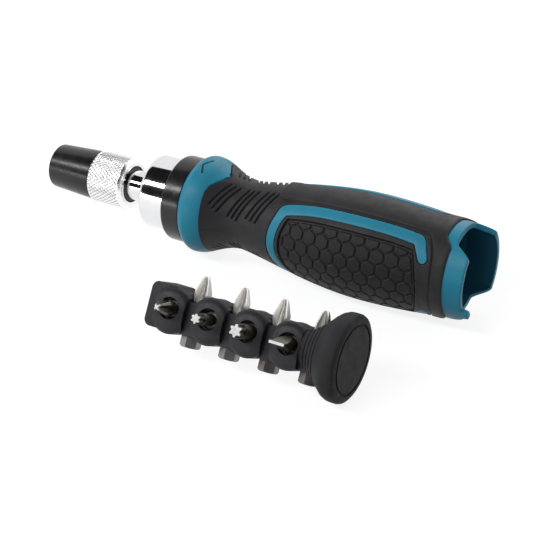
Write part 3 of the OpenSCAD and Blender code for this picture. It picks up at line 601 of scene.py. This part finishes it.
def add_collar():
    """Chrome collar with a diamond knurl between two plain edges and an open rear recess."""
    steps_per_line, rows = 10, 110
    count = knurl_lines * steps_per_line
    phi = turn_angles(count)
    x0, x1 = nose_end + joint_gap, collar_end
    first, last = x0 + knurl_start, x1 - knurl_stop
    points, grooves = [], []
    for x, r in [(x0, collar_bore), (x0, collar_r - 0.75), (x0 + 0.2, collar_r - 0.5)]:
        points.append(on_axis(np.full(count, x), r, phi))
        grooves.append(np.zeros(count))
    turns = knurl_lines * phi / (2 * np.pi)
    for x in np.linspace(first, last, rows):
        one = np.abs((turns + x / knurl_lead) % 1.0 - 0.5) * 2.0
        two = np.abs((turns - x / knurl_lead) % 1.0 - 0.5) * 2.0
        height = np.minimum(np.minimum(one, two) * 2.0, 1.0)
        fade = window(x, first + 0.2, last - 0.2, 0.4)
        points.append(on_axis(np.full(count, x), collar_r - knurl_depth * (1.0 - height) * fade, phi))
        grooves.append(smooth(0.35, 0.8, 1.0 - height) * fade)
    for x, r in [(last + 0.2, collar_r - 0.08), (x1 - 0.95, collar_r - 0.3),
                 (x1 - 0.15, collar_r - 1.2), (x1, collar_r - 1.45), (x1, collar_lip + 0.3),
                 (x1 - 0.25, collar_lip), (x1 - 0.8, collar_lip), (x1 - 0.85, collar_bore)]:
        points.append(on_axis(np.full(count, x), r, phi))
        grooves.append(np.zeros(count))
    piece = add_solid("collar_knurl", np.array(points), ring_faces(len(points), count),
                      knurl_chrome_groove_shade, "sleeve", 50.0)
    # Groove depth stored for the painted shade in the knurl's grooves
    groove = piece.data.attributes.new("groove", "FLOAT", "POINT")
    groove.data.foreach_set("value", np.concatenate(grooves))
    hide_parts("knurled_collar")


def add_spring():
    """Sleeve spring with flat end coils, pressed together between the nose cap and the washer."""
    steps_per_turn, wire_sides = 48, 10
    middle_r = (stem_r + collar_bore) / 2
    first = nose_end + spigot_len + spring_gap + spring_wire_r
    last = start_of("spring_washer") - spring_gap - spring_wire_r
    turns = np.linspace(0.0, spring_turns, steps_per_turn * spring_turns + 1)
    rise = np.clip((turns - spring_end_turns) / (spring_turns - 2 * spring_end_turns), 0.0, 1.0)
    around = turn_angles(wire_sides)[None, :]
    x = first + (last - first) * rise[:, None] + spring_wire_r * np.cos(around)
    r = middle_r + spring_wire_r * np.sin(around)
    points = on_axis(x, r, 2 * np.pi * turns[:, None])
    piece = make_solid("sleeve_coil", points, tube_faces(len(turns), wire_sides), spring_steel)
    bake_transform(piece)
    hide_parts("sleeve_spring")


# Ratchet head
def add_housing():
    """Chrome housing: rounded front, bearing bore, the selector's seat and the tail in the handle."""
    seat_x = selector_x - 0.15
    outline = filleted(
        [(housing_x, front_bush_r), (housing_x, housing_r), (seat_x, housing_r), (seat_x, seat_r),
         (flange_x, seat_r), (flange_x, tail_r), (housing_end, tail_r), (housing_end, front_bush_r)],
        [0.4, 2.6, 0.35, 0.1, 0.1, 0.1, 0.3, 0.3], 9)
    piece = add_turned("housing_shell", outline, chrome, "handle", 200)
    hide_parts("ratchet_housing")


def add_selector():
    """Glossy selector ring, a little narrower towards its rounded edges."""
    inner = seat_r + 0.1
    outline = filleted(
        [(selector_x, inner), (selector_x, selector_r - 0.15), (selector_x + 0.9, selector_r),
         (selector_end - 0.9, selector_r), (selector_end, selector_r - 0.1), (selector_end, inner)],
        [0.2, 0.7, 0.8, 0.8, 0.5, 0.2], 7)
    piece = add_turned("selector_band", outline, gloss_black, "selector", 200)
    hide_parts("selector_ring")


# Hard teal core
# Direction mark: distance behind the flange's front and angle round the axis
MARK_CORNER = (4.0, 102.2)
MARK_ENDS = [(6.0, 88.1), (5.7, 113.2)]
mark_w = 0.85
mark_depth = 0.45
inlay_drop = 0.2
inlay_t = 0.5


def on_flange(along, degrees):
    """Place on the flange rolled out flat, from a distance behind its front and an angle."""
    return np.array([flange_x + along, np.radians(degrees) * flange_r])


def mark_strokes():
    """Corner of the direction mark and its two strokes, on the flange rolled out flat."""
    corner = on_flange(*MARK_CORNER)
    return corner, [on_flange(*end) - corner for end in MARK_ENDS]


def mark_cut(x, angle):
    """Depth of the engraved direction mark: two strokes from one corner, on top of the flange."""
    corner, strokes = mark_strokes()
    place = np.stack([x, angle * flange_r], axis=-1)
    cut = np.zeros_like(x)
    for line in strokes:
        t = np.clip((place - corner) @ line / (line @ line), 0.0, 1.0)
        gap = np.linalg.norm(place - corner - t[..., None] * line, axis=-1)
        cut = np.maximum(cut, 1.0 - smooth(mark_w / 2 - 0.2, mark_w / 2 + 0.1, gap))
    return mark_depth * cut


def flange_radius(x):
    """Radius of the bulged flange at a station."""
    t = (x - flange_x) / (grip_x - flange_x)
    front = (flange_r - selector_r) * (1.0 - t / flange_crest) ** 2
    rear = (flange_r - grip_front_r) * ((t - flange_crest) / (1.0 - flange_crest)) ** 2
    return flange_r - np.where(t < flange_crest, front, rear)


def add_flange():
    """Bulged flange ring at the front of the handle, with the engraved direction mark."""
    count, stations = 480, 72
    phi = turn_angles(count)
    x, angle = np.meshgrid(np.linspace(flange_x, grip_x, stations), phi, indexing="ij")
    rows = list(on_axis(x, flange_radius(x) - mark_cut(x, angle), angle))
    back = grip_x + 0.4
    bore = tail_r + joint_gap
    for station, inner in [(back, grip_front_r - 0.5), (back, bore), (flange_x, bore)]:
        rows.append(on_axis(np.full(count, station), inner, phi))
    piece = add_solid("flange_ring", np.array(rows), ring_faces(len(rows), count), teal, "handle")
    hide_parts("handle_core")


def add_mark_inlay():
    """Black filling that lies in the two strokes of the direction mark, below the flange's surface."""
    rows, columns = 24, 7
    corner, strokes = mark_strokes()
    points, faces = [], []
    for line in strokes:
        across = np.array([-line[1], line[0]]) / np.linalg.norm(line)
        u = np.linspace(0.04, 1.0, rows)[:, None, None]
        v = np.linspace(-0.5, 0.5, columns)[None, :, None] * mark_w
        place = corner + u * line + v * across
        x, angle = place[..., 0], place[..., 1] / flange_r
        start = len(points)
        for drop in (inlay_drop, inlay_drop + inlay_t):
            points += on_axis(x, flange_radius(x) - drop, angle).reshape(-1, 3).tolist()
        faces += [tuple(start + k for k in face) for face in slab_faces(rows, columns)]
    piece = add_solid("direction_inlay", points, faces, rubber, "handle")


def tongue_half(x):
    """Half width of the flange's tongue at a station behind the flange."""
    t = np.clip((x - grip_x) / (tongue_end - grip_x), 0.0, 1.0)
    return tongue_root_half + (tongue_tip_half - tongue_root_half) * t


def add_tongue():
    """Pointed tongue of the flange that reaches back over the top of the neck."""
    rows, columns = 44, 56
    u = np.linspace(0.0, 1.0, rows)[:, None]
    v = np.linspace(-1.0, 1.0, columns)[None, :]
    root_x = grip_x - tongue_root
    x = root_x + (tongue_end - root_x) * u
    y = v * tongue_half(x)
    x = x - 0.6 * tongue_tip_half * np.abs(v) ** 3 * smooth(0.8, 1.0, u)
    from_edge = np.minimum((1.0 - np.abs(v)) * tongue_half(x), tongue_end - x)
    eased = (1.0 - smooth(0.0, 0.35, from_edge)) * smooth(grip_x - 0.3, grip_x + 0.3, x)
    r = grip_radius(x) - joint_gap - 0.2 * eased
    x, r, y = np.broadcast_arrays(x, r, y)
    phi = np.pi / 2 + grip_roll + np.arcsin(np.clip(-y / r, -1.0, 1.0))
    outer = on_axis(x, r, phi)
    inner = on_axis(x, r - tongue_t, phi)
    points = np.concatenate([outer.reshape(-1, 3), inner.reshape(-1, 3)])
    piece = add_solid("flange_tongue", points, slab_faces(rows, columns), teal, "handle")


def rim_end_at(phi):
    """Station of the wavy rear edge: lobes at the sides, finger scoops, and one standing corner."""
    from_vertical = 90.0 - np.abs(side_angle(phi, rim_roll))
    corner = rim_corner * window(np.degrees(phi), 205.0, 216.5, 4.0)
    return rim_end - rim_scoop * (1.0 - smooth(29.0, 50.0, from_vertical)) + corner


def paint_bay_shade(mesh):
    """Gives the faces that look into the bay, or out of it from its floor and step, the darker teal as
    painted shade.
    """
    mesh.materials.append(bay_shade_teal)
    for face in mesh.polygons:
        radius = math.hypot(face.center.y, face.center.z)
        inward = -(face.normal.y * face.center.y + face.normal.z * face.center.z) / radius
        if radius < (mouth_r + 0.05) * MM and max(inward, face.normal.x) > 0.3:
            face.material_index = 1


def add_rim():
    """Barrel of the core with the bit bay, the mouth for the cap and the wavy rear rim."""
    count = 360
    phi = turn_angles(count)
    end = rim_end_at(phi)
    bay_x = rim_end - bay_len
    front_x = bay_x - 1.5
    mouth_x = rim_end - mouth_depth
    step_x = grip_end - 6.0
    side_x = grip_end - 3.4
    pin_r = 0.4
    stations = [(front_x, pin_r), (front_x, 13.9), (bay_x + 4.0, 15.2), (bay_x + 14.0, 16.4),
                (step_x, 16.5), (step_x + 0.4, rim_r - 0.7), (side_x, rim_r - 0.2)]
    points = [on_axis(np.full(count, x), r, phi) for x, r in stations]
    lip_x, lip_r = end - rim_lip, rim_r - rim_lip
    for t in np.linspace(0.1, 1.0, 12):
        points.append(on_axis(side_x + (lip_x - side_x) * t, rim_r - 0.1 + 0.1 * min(1.0, 4 * t), phi))
    for a in np.linspace(0.2, 1.0, 5):
        turn = a * np.pi / 2
        points.append(on_axis(lip_x + rim_lip * np.sin(turn), lip_r + rim_lip * np.cos(turn), phi))
    points.append(on_axis(end, mouth_r + rim_bevel, phi))
    points.append(on_axis(end - rim_bevel, mouth_r, phi))
    inner = [(mouth_x, mouth_r), (mouth_x - 0.2, bay_r + 0.3), (mouth_x - 0.6, bay_r),
             (bay_x + 0.5, bay_r), (bay_x, bay_r - 0.6), (bay_x, pin_r)]
    points += [on_axis(np.full(count, x), r, phi) for x, r in inner]
    piece = add_solid("core_barrel", np.array(points), ring_faces(len(points), count), teal, "handle", 45.0)
    # Painted shade: the faces inside the bay take the darker teal
    paint_bay_shade(piece.data)


def end_falls(x):
    """How far the stripes and panels have drawn in at a station, towards the front and the rear."""
    front = np.clip((front_fall_x - x) / front_fall_run, 0.0, 1.2) ** 2
    rear = np.clip((x - rear_fall_x) / rear_fall_run, 0.0, 1.2) ** 2
    return front, rear


def run_arc(x):
    """Distance round the grip from the side's middle to the middle of the stripe's long run."""
    front, rear = end_falls(x)
    return grip_radius(x) * np.radians(run_deg - run_front_fall * front - run_rear_fall * rear)


def run_height(x):
    """Height in the side view of the middle of the stripe's long run."""
    r = float(grip_radius(x))
    return r * math.sin(float(run_arc(x)) / r)


def arc_at(x, z):
    """Distance round the grip at which a point of the side view lies."""
    r = float(grip_radius(x))
    return r * math.asin(max(-1.0, min(1.0, z / r)))


def front_leg_x(z):
    """Station of the bowed front leg's middle at a height in the side view."""
    return stripe_x + front_leg_w / 2 + stripe_bow - math.sqrt(stripe_bow ** 2 - (z - stripe_apex) ** 2)


def rear_leg_x_at(z):
    """Station of the slanted rear leg's middle at a height in the side view."""
    return rear_leg_x + (rear_leg_z - z) * rear_leg_slant


def corner_with_run(leg_x, guess, sign):
    """Station where a leg's middle meets the middle of the upper (1) or lower (-1) run."""
    x = guess
    for _ in range(8):
        x = leg_x(sign * run_height(x))
    return x


def stripe_path():
    """Middle of a side's stripe as (x, arc, half width) points, from one rear leg to the other."""
    points, radii = [], []
    count = 30

    def add(x, arc, width, radius=0.0):
        points.append((x, arc, width / 2))
        radii.append(radius)

    front = {sign: corner_with_run(front_leg_x, stripe_x + 6.0, sign) for sign in (1, -1)}
    rear = corner_with_run(rear_leg_x_at, rear_leg_x, 1)
    low_x = rear_leg_x_at(rear_leg_low)
    add(low_x, arc_at(low_x, rear_leg_low), rear_leg_w)
    add(rear, float(run_arc(rear)), stripe_w, stripe_corner)
    for x in np.linspace(rear - run_clear, front[1] + run_clear, count):
        add(x, float(run_arc(x)), stripe_w)
    add(front[1], float(run_arc(front[1])), stripe_w, stripe_corner)
    for z in np.linspace(run_height(front[1]) - leg_clear, leg_clear - run_height(front[-1]), count):
        x = front_leg_x(z)
        add(x, arc_at(x, z), front_leg_w)
    add(front[-1], -float(run_arc(front[-1])), stripe_w, stripe_corner)
    for x in np.linspace(front[-1] + run_clear, rear - run_clear, count):
        add(x, -float(run_arc(x)), stripe_w)
    add(rear, -float(run_arc(rear)), stripe_w, stripe_corner)
    add(low_x, -arc_at(low_x, rear_leg_low), rear_leg_w)
    rounded = filleted(points, radii, 9)
    steps = np.concatenate([[0.0], np.cumsum(np.linalg.norm(np.diff(rounded[:, :2], axis=0), axis=1))])
    along = np.linspace(0.0, steps[-1], 460)
    return np.stack([np.interp(along, steps, rounded[:, k]) for k in range(3)], axis=-1)


# Section of a stripe: share of the half width, and height over the grip in millimetres
STRIPE_SECTION = [(-1.0, -1.0), (-1.0, -0.28), (-0.93, -0.12), (-0.8, -0.06), (-0.4, -0.05), (0.0, -0.05),
                  (0.4, -0.05), (0.8, -0.06), (0.93, -0.12), (1.0, -0.28), (1.0, -1.0)]


def add_stripe(name, path, side):
    """Inlaid teal strip with eased edges and round ends, on the near (-1) or far (1) side."""
    middle, half = path[:, :2], path[:, 2]
    tangent = np.gradient(middle, axis=0)
    tangent /= np.linalg.norm(tangent, axis=1, keepdims=True)
    normal = np.stack([-tangent[:, 1], tangent[:, 0]], axis=-1)
    ends = np.linspace(0.98, 0.0, 9)[:-1]
    stations = []
    for d in ends:
        place = middle[0] - tangent[0] * half[0] * d
        stations.append((place, normal[0], half[0] * math.sqrt(1.0 - d * d)))
    stations += list(zip(middle, normal, half))
    for d in ends[::-1]:
        place = middle[-1] + tangent[-1] * half[-1] * d
        stations.append((place, normal[-1], half[-1] * math.sqrt(1.0 - d * d)))
    points = []
    for place, across, reach in stations:
        for t, lift in STRIPE_SECTION:
            x, arc = place + across * reach * t
            r = float(grip_radius(x))
            points.append(on_side(x, r + lift, arc / r, side))
    piece = add_solid(name, points, tube_faces(len(stations), len(STRIPE_SECTION)), teal, "handle")


# Soft grip
# Groups of three ribs: station at the side's middle, pitch, lean, lower end of the first, step of the ends
RIB_GROUPS = [(-2.6, 2.35, 0.51, 10.4, -1.5), (7.7, 2.05, 0.41, 6.0, -0.4), (15.1, 2.25, 0.42, 7.3, -0.2)]


def rib_cut(x, sigma):
    """Depth of the rib grooves, which wind round the neck above and below the side's middle."""
    r = grip_radius(x)
    arc = r * np.radians(np.abs(sigma))
    y = r * np.cos(np.radians(sigma))
    stop = smooth(rib_clear - 0.3, rib_clear + 0.5, y) * (1.0 - smooth(band_x - 0.7, band_x - 0.2, x))
    cut = np.zeros_like(x)
    for first, pitch, lean, low, step in RIB_GROUPS:
        for i in range(3):
            start = smooth(low + i * step - 0.5, low + i * step + 0.5, arc)
            across = np.abs(x - grip_x - first - i * pitch - lean * arc) / math.hypot(1.0, lean)
            groove = 1.0 - smooth(rib_w / 2 - 0.22, rib_w / 2 + 0.12, across)
            cut = np.maximum(cut, rib_depth * groove * start * stop)
    return cut


def band_lift(x, sigma):
    """Step of the raised bands at the top and bottom, with a pad where they start."""
    on_band = smooth(90.0 - band_deg - 1.0, 90.0 - band_deg + 1.0, np.abs(sigma))
    t = np.clip((x - band_x) / band_run, 0.0, 1.0)
    pad = 1.0 - smooth(band_x + 4.0, band_x + 7.0, x)
    height = band_rise * (0.35 * pad + 0.65 * (1.0 - t) ** 2)
    return height * on_band * smooth(band_x - 0.5, band_x + 0.5, x)


def crease_cut(x, sigma):
    """Low strips beside the bands, and creases across the rear collar and at the parting line."""
    lean = np.abs(sigma)
    edge = 90.0 - band_deg
    along = band_step * window(lean, edge - 9.0, edge - 0.6, 1.6) * smooth(band_x + 1.0, band_x + 5.0, x)
    along = along * (1.0 - smooth(taper_x - 3.0, taper_x + 1.0, x))
    rear_line = rear_crease_x - rear_crease_bend * (lean / 68.0) ** 4
    across = window(x - rear_line, -0.45, 0.45, 0.5)
    rear = rear_crease_depth * across * (1.0 - smooth(69.0, 73.0, lean))
    parting = parting_depth * window(sigma, -0.8, 0.8, 0.9) * window(x, grip_x + 0.4, grip_x + 6.4, 1.0)
    return np.maximum(np.maximum(along, rear), parting)


def panel_edges(arc, x):
    """Stations of the bowed front and rear edges of a side's panel, at a distance round the grip."""
    z = grip_radius(x) * np.sin(arc / grip_radius(x))
    bow = np.sqrt(np.maximum(0.0, panel_front_bow ** 2 - (z - stripe_apex) ** 2))
    front = panel_x + panel_front_bow - bow
    rear = panel_end - panel_rear_bow + np.sqrt(panel_rear_bow ** 2 - z ** 2)
    return front, rear


def panel_edge_arc(x):
    """Distance round the grip from the side's middle to the long edge of a side's panel."""
    front, rear = end_falls(x)
    return grip_radius(x) * np.radians(panel_deg - panel_front_fall * front - panel_rear_fall * rear)


def inlay_cut(x, sigma, path):
    """Recesses that take the stripes, the panels and the tongue."""
    arc = np.radians(sigma) * grip_radius(x)
    flat = np.stack([x.ravel(), arc.ravel()], axis=-1)
    gap = np.full(len(flat), 1e9)
    for place in path:
        gap = np.minimum(gap, np.hypot(flat[:, 0] - place[0], flat[:, 1] - place[1]) - place[2])
    gap = gap.reshape(x.shape)
    cut = stripe_recess * (1.0 - smooth(0.05, 0.3, gap))
    front, rear = panel_edges(arc, x)
    inside = np.minimum(np.minimum(x - front, rear - x), panel_edge_arc(x) - np.abs(arc))
    cut = np.maximum(cut, panel_recess * smooth(-0.75, -0.35, inside))
    y = grip_radius(x) * np.cos(np.radians(sigma))
    on_tongue = np.minimum((tongue_half(x) - np.abs(y)) * 0.5, tongue_end - x)
    tongue = tongue_recess * smooth(-0.45, -0.15, on_tongue) * (sigma > 0.0)
    return np.maximum(cut, tongue)


def add_grip(path):
    """Rubber skin of the handle with its ribs, bands, creases and recesses."""
    count = 480
    phi = turn_angles(count)
    ribs_end, inlays_end, edge_x = band_x + 1.5, panel_end + 5.0, grip_end - grip_edge
    outer_x = np.concatenate([
        np.linspace(grip_x, ribs_end, 170, endpoint=False),
        np.linspace(ribs_end, inlays_end, 200, endpoint=False),
        np.linspace(inlays_end, edge_x, 30)])
    x, angle = np.meshgrid(outer_x, phi, indexing="ij")
    sigma = side_angle(angle, grip_roll)
    from_vertical = 90.0 - np.abs(side_angle(angle, rim_roll))
    shorter = rubber_scoop * (1.0 - smooth(24.0, 42.0, from_vertical))
    r = grip_radius(x) + band_lift(x, sigma) - crease_cut(x, sigma)
    r = r - np.maximum(rib_cut(x, sigma), inlay_cut(x, sigma, path))
    rows = list(on_axis(x - shorter * smooth(taper_x, edge_x, x), r, angle))
    end_x = grip_end - shorter[-1]
    rows.append(on_axis(end_x - 0.35, r[-1] - 0.1, phi))
    rows.append(on_axis(end_x, r[-1] - 0.45, phi))
    rows.append(on_axis(end_x, rim_r + joint_gap, phi))
    for back in np.linspace(grip_end - rubber_scoop - 1.0, grip_x, 24):
        inner = np.minimum(grip_radius(back) - skin_t, rim_r - 0.2)
        rows.append(on_axis(np.full(count, back), inner, phi))
    piece = add_solid("grip_skin", np.array(rows), ring_faces(len(rows), count), rubber, "handle", 60.0)
    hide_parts("soft_grip")


def cell_edge(x, arc):
    """Distance to the nearest joint between the staggered hexagons."""
    row = np.floor(arc / cell_row)
    gaps, places = [], []
    for step in (-1, 0, 1, 2):
        k = row + step
        shift = np.where(k % 2 == 0, 0.0, cell_pitch / 2)
        column = np.round((x - cell_x - shift) / cell_pitch)
        for side in (-1, 0, 1):
            centre_x = cell_x + shift + (column + side) * cell_pitch
            centre_arc = k * cell_row
            places.append(np.stack([centre_x, centre_arc], axis=-1))
            gaps.append((x - centre_x) ** 2 + (arc - centre_arc) ** 2)
    gaps = np.stack(gaps, axis=-1)
    places = np.stack(places, axis=-2)
    order = np.argsort(gaps, axis=-1)[..., :2]
    nearest = np.take_along_axis(gaps, order, axis=-1)
    pair = np.take_along_axis(places, order[..., None], axis=-2)
    apart = np.linalg.norm(pair[..., 0, :] - pair[..., 1, :], axis=-1)
    return (nearest[..., 1] - nearest[..., 0]) / (2 * apart)


def add_panel(name, node, side):
    """Inlaid panel of raised hexagons, on the near (-1) or far (1) side."""
    rows, columns = 300, 190
    u = np.linspace(0.0, 1.0, rows)[:, None]
    v = np.linspace(-1.0, 1.0, columns)[None, :]
    x = panel_x + (panel_end - panel_x) * u + 0.0 * v
    for _ in range(6):
        front, rear = panel_edges(panel_edge_arc(x) * v, x)
        x = front + (rear - front) * u
    arc = panel_edge_arc(x) * v
    inside = np.minimum(np.minimum(x - front, rear - x), panel_edge_arc(x) * (1.0 - np.abs(v)))
    groove = 1.0 - smooth(cell_groove / 2 - 0.12, cell_groove / 2 + 0.22, cell_edge(x, arc))
    groove = np.maximum(groove, 1.0 - smooth(0.4, 0.8, inside))
    r = grip_radius(x) - panel_drop - cell_depth * groove
    sigma = arc / grip_radius(x)
    outer = on_side(x, r, sigma, side)
    inner = on_side(x, grip_radius(x) - panel_back, sigma, side)
    points = np.concatenate([outer.reshape(-1, 3), inner.reshape(-1, 3)])
    piece = add_solid(name, points, slab_faces(rows, columns), panel_rubber, "handle", 60.0)
    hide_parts(node)


# Studio
FLOOR_GREY = (0.26, 0.26, 0.26, 1.0)
FLOOR_GLOW = 0.84
WORLD_LIGHT = 0.26
CARD_BLACK = (0.02, 0.02, 0.02, 1.0)
PURE_WHITE = (1.0, 1.0, 1.0, 1.0)
# Each lamp's place in metres, length, width and power
LAMPS = {
    "key": ((-0.30, -0.56, 0.60), 1.0, 0.14, 5.8),
    "low": ((-0.40, -0.85, 0.07), 0.8, 0.12, 1.6),
    "fill": ((0.72, 0.5, 0.36), 0.6, 0.6, 1.0),
    "back": ((0.05, 0.65, 0.5), 0.6, 0.6, 2.2),
}


def ray_mask(tree, kinds):
    """One for the named kinds of ray, nought for all others."""
    path = tree.nodes.new("ShaderNodeLightPath")
    mask = path.outputs[kinds[0]]
    for kind in kinds[1:]:
        either = tree.nodes.new("ShaderNodeMath")
        either.operation = "MAXIMUM"
        tree.links.new(mask, either.inputs[0])
        tree.links.new(path.outputs[kind], either.inputs[1])
        mask = either.outputs["Value"]
    return mask


def add_floor():
    """Pale floor that shows white to the camera and still takes the object's shadow."""
    size = 3.0
    z = cad_low.z - 0.0001
    mesh = bpy.data.meshes.new("floor")
    corners = [(-size, -size, z), (size, -size, z), (size, size, z), (-size, size, z)]
    mesh.from_pydata(corners, [], [(0, 1, 2, 3)])
    material = bpy.data.materials.new("floor_white")
    material.use_nodes = True
    tree = material.node_tree
    shader = tree.nodes["Principled BSDF"]
    shader.inputs["Base Color"].default_value = FLOOR_GREY
    shader.inputs["Roughness"].default_value = 0.9
    shader.inputs["Emission Color"].default_value = PURE_WHITE
    glow = tree.nodes.new("ShaderNodeMath")
    glow.operation = "MULTIPLY"
    glow.inputs[1].default_value = FLOOR_GLOW
    tree.links.new(ray_mask(tree, ["Is Camera Ray", "Is Glossy Ray"]), glow.inputs[0])
    tree.links.new(glow.outputs["Value"], shader.inputs["Emission Strength"])
    mesh.materials.append(material)
    floor = bpy.data.objects.new("floor", mesh)
    bpy.context.scene.collection.objects.link(floor)


def set_world():
    """Even pale light, white where the camera, a reflection or glass looks at it."""
    world = bpy.data.worlds.new("studio")
    bpy.context.scene.world = world
    world.use_nodes = True
    tree = world.node_tree
    back = tree.nodes["Background"]
    back.inputs["Color"].default_value = PURE_WHITE
    seen = ray_mask(tree, ["Is Camera Ray", "Is Glossy Ray", "Is Transmission Ray"])
    level = tree.nodes.new("ShaderNodeMapRange")
    level.inputs["To Min"].default_value = WORLD_LIGHT
    level.inputs["To Max"].default_value = 1.0
    tree.links.new(seen, level.inputs["Value"])
    tree.links.new(level.outputs["Result"], back.inputs["Strength"])


def add_softbox(name, place, aim, length, width, power):
    """Area lamp that faces a point, its long side along the driver."""
    lamp = bpy.data.lights.new(name, "AREA")
    lamp.shape = "RECTANGLE"
    lamp.size = length
    lamp.size_y = width
    lamp.energy = power
    back = (Vector(place) - Vector(aim)).normalized()
    side = (Vector((1.0, 0.0, 0.0)) - back * back.x).normalized()
    softbox = bpy.data.objects.new(name, lamp)
    softbox.location = place
    softbox.rotation_mode = "QUATERNION"
    softbox.rotation_quaternion = Matrix((side, back.cross(side), back)).transposed().to_quaternion()
    bpy.context.scene.collection.objects.link(softbox)


def add_dark_card(from_deg, to_deg, radius, length):
    """Curved dark card on the camera's side that only reflections see, as in a studio's dark half."""
    angles = np.radians(np.linspace(from_deg, to_deg, 25))
    arc = [(radius * math.cos(a), radius * math.sin(a)) for a in angles]
    points = [(x, y, z) for x in (-length / 2, length / 2) for y, z in arc]
    count = len(arc)
    faces = [(k, k + 1, count + k + 1, count + k) for k in range(count - 1)]
    mesh = bpy.data.meshes.new("dark_card")
    mesh.from_pydata(points, [], faces)
    material = bpy.data.materials.new("card_black")
    material.use_nodes = True
    shader = material.node_tree.nodes["Principled BSDF"]
    shader.inputs["Base Color"].default_value = CARD_BLACK
    shader.inputs["Roughness"].default_value = 1.0
    mesh.materials.append(material)
    card = bpy.data.objects.new("dark_card", mesh)
    bpy.context.scene.collection.objects.link(card)
    card.visible_camera = False
    card.visible_diffuse = False
    card.visible_transmission = False
    card.visible_shadow = False


def add_camera():
    """Camera at the photograph's viewing angle, from the fitted place and focal length."""
    azimuth, elevation = math.radians(29.76), math.radians(29.33)
    back = Vector((math.sin(azimuth) * math.cos(elevation), -math.cos(azimuth) * math.cos(elevation),
                   math.sin(elevation)))
    photo_px, focal_px = 550.0, 1500.0
    data = bpy.data.cameras.new("camera")
    data.sensor_width = 36.0
    data.lens = data.sensor_width * focal_px / photo_px
    data.clip_start, data.clip_end = 0.01, 20.0
    camera = bpy.data.objects.new("camera", data)
    camera.location = (0.3488, -0.4357, 0.2588)
    camera.rotation_mode = "QUATERNION"
    camera.rotation_quaternion = (-back).to_track_quat("-Z", "Y")
    bpy.context.scene.collection.objects.link(camera)
    bpy.context.scene.camera = camera


add_camera()
dress_nodes()
add_nose()
add_collar()
add_spring()
add_housing()
add_selector()
add_flange()
add_mark_inlay()
add_tongue()
add_rim()
stripe_middle = stripe_path()
add_stripe("near_stripe", stripe_middle, -1)
add_stripe("far_stripe", stripe_middle, 1)
add_grip(stripe_middle)
add_panel("near_hex_panel", "near_grip_panel", -1)
add_panel("far_hex_panel", "far_grip_panel", 1)

add_floor()
set_world()
for lamp_name, (lamp_place, lamp_length, lamp_width, lamp_power) in LAMPS.items():
    add_softbox(lamp_name, lamp_place, (cad_low + cad_high) / 2, lamp_length, lamp_width, lamp_power)
add_dark_card(from_deg=76.0, to_deg=171.0, radius=1.6, length=5.0)
bpy.context.scene.view_settings.view_transform = "Standard"
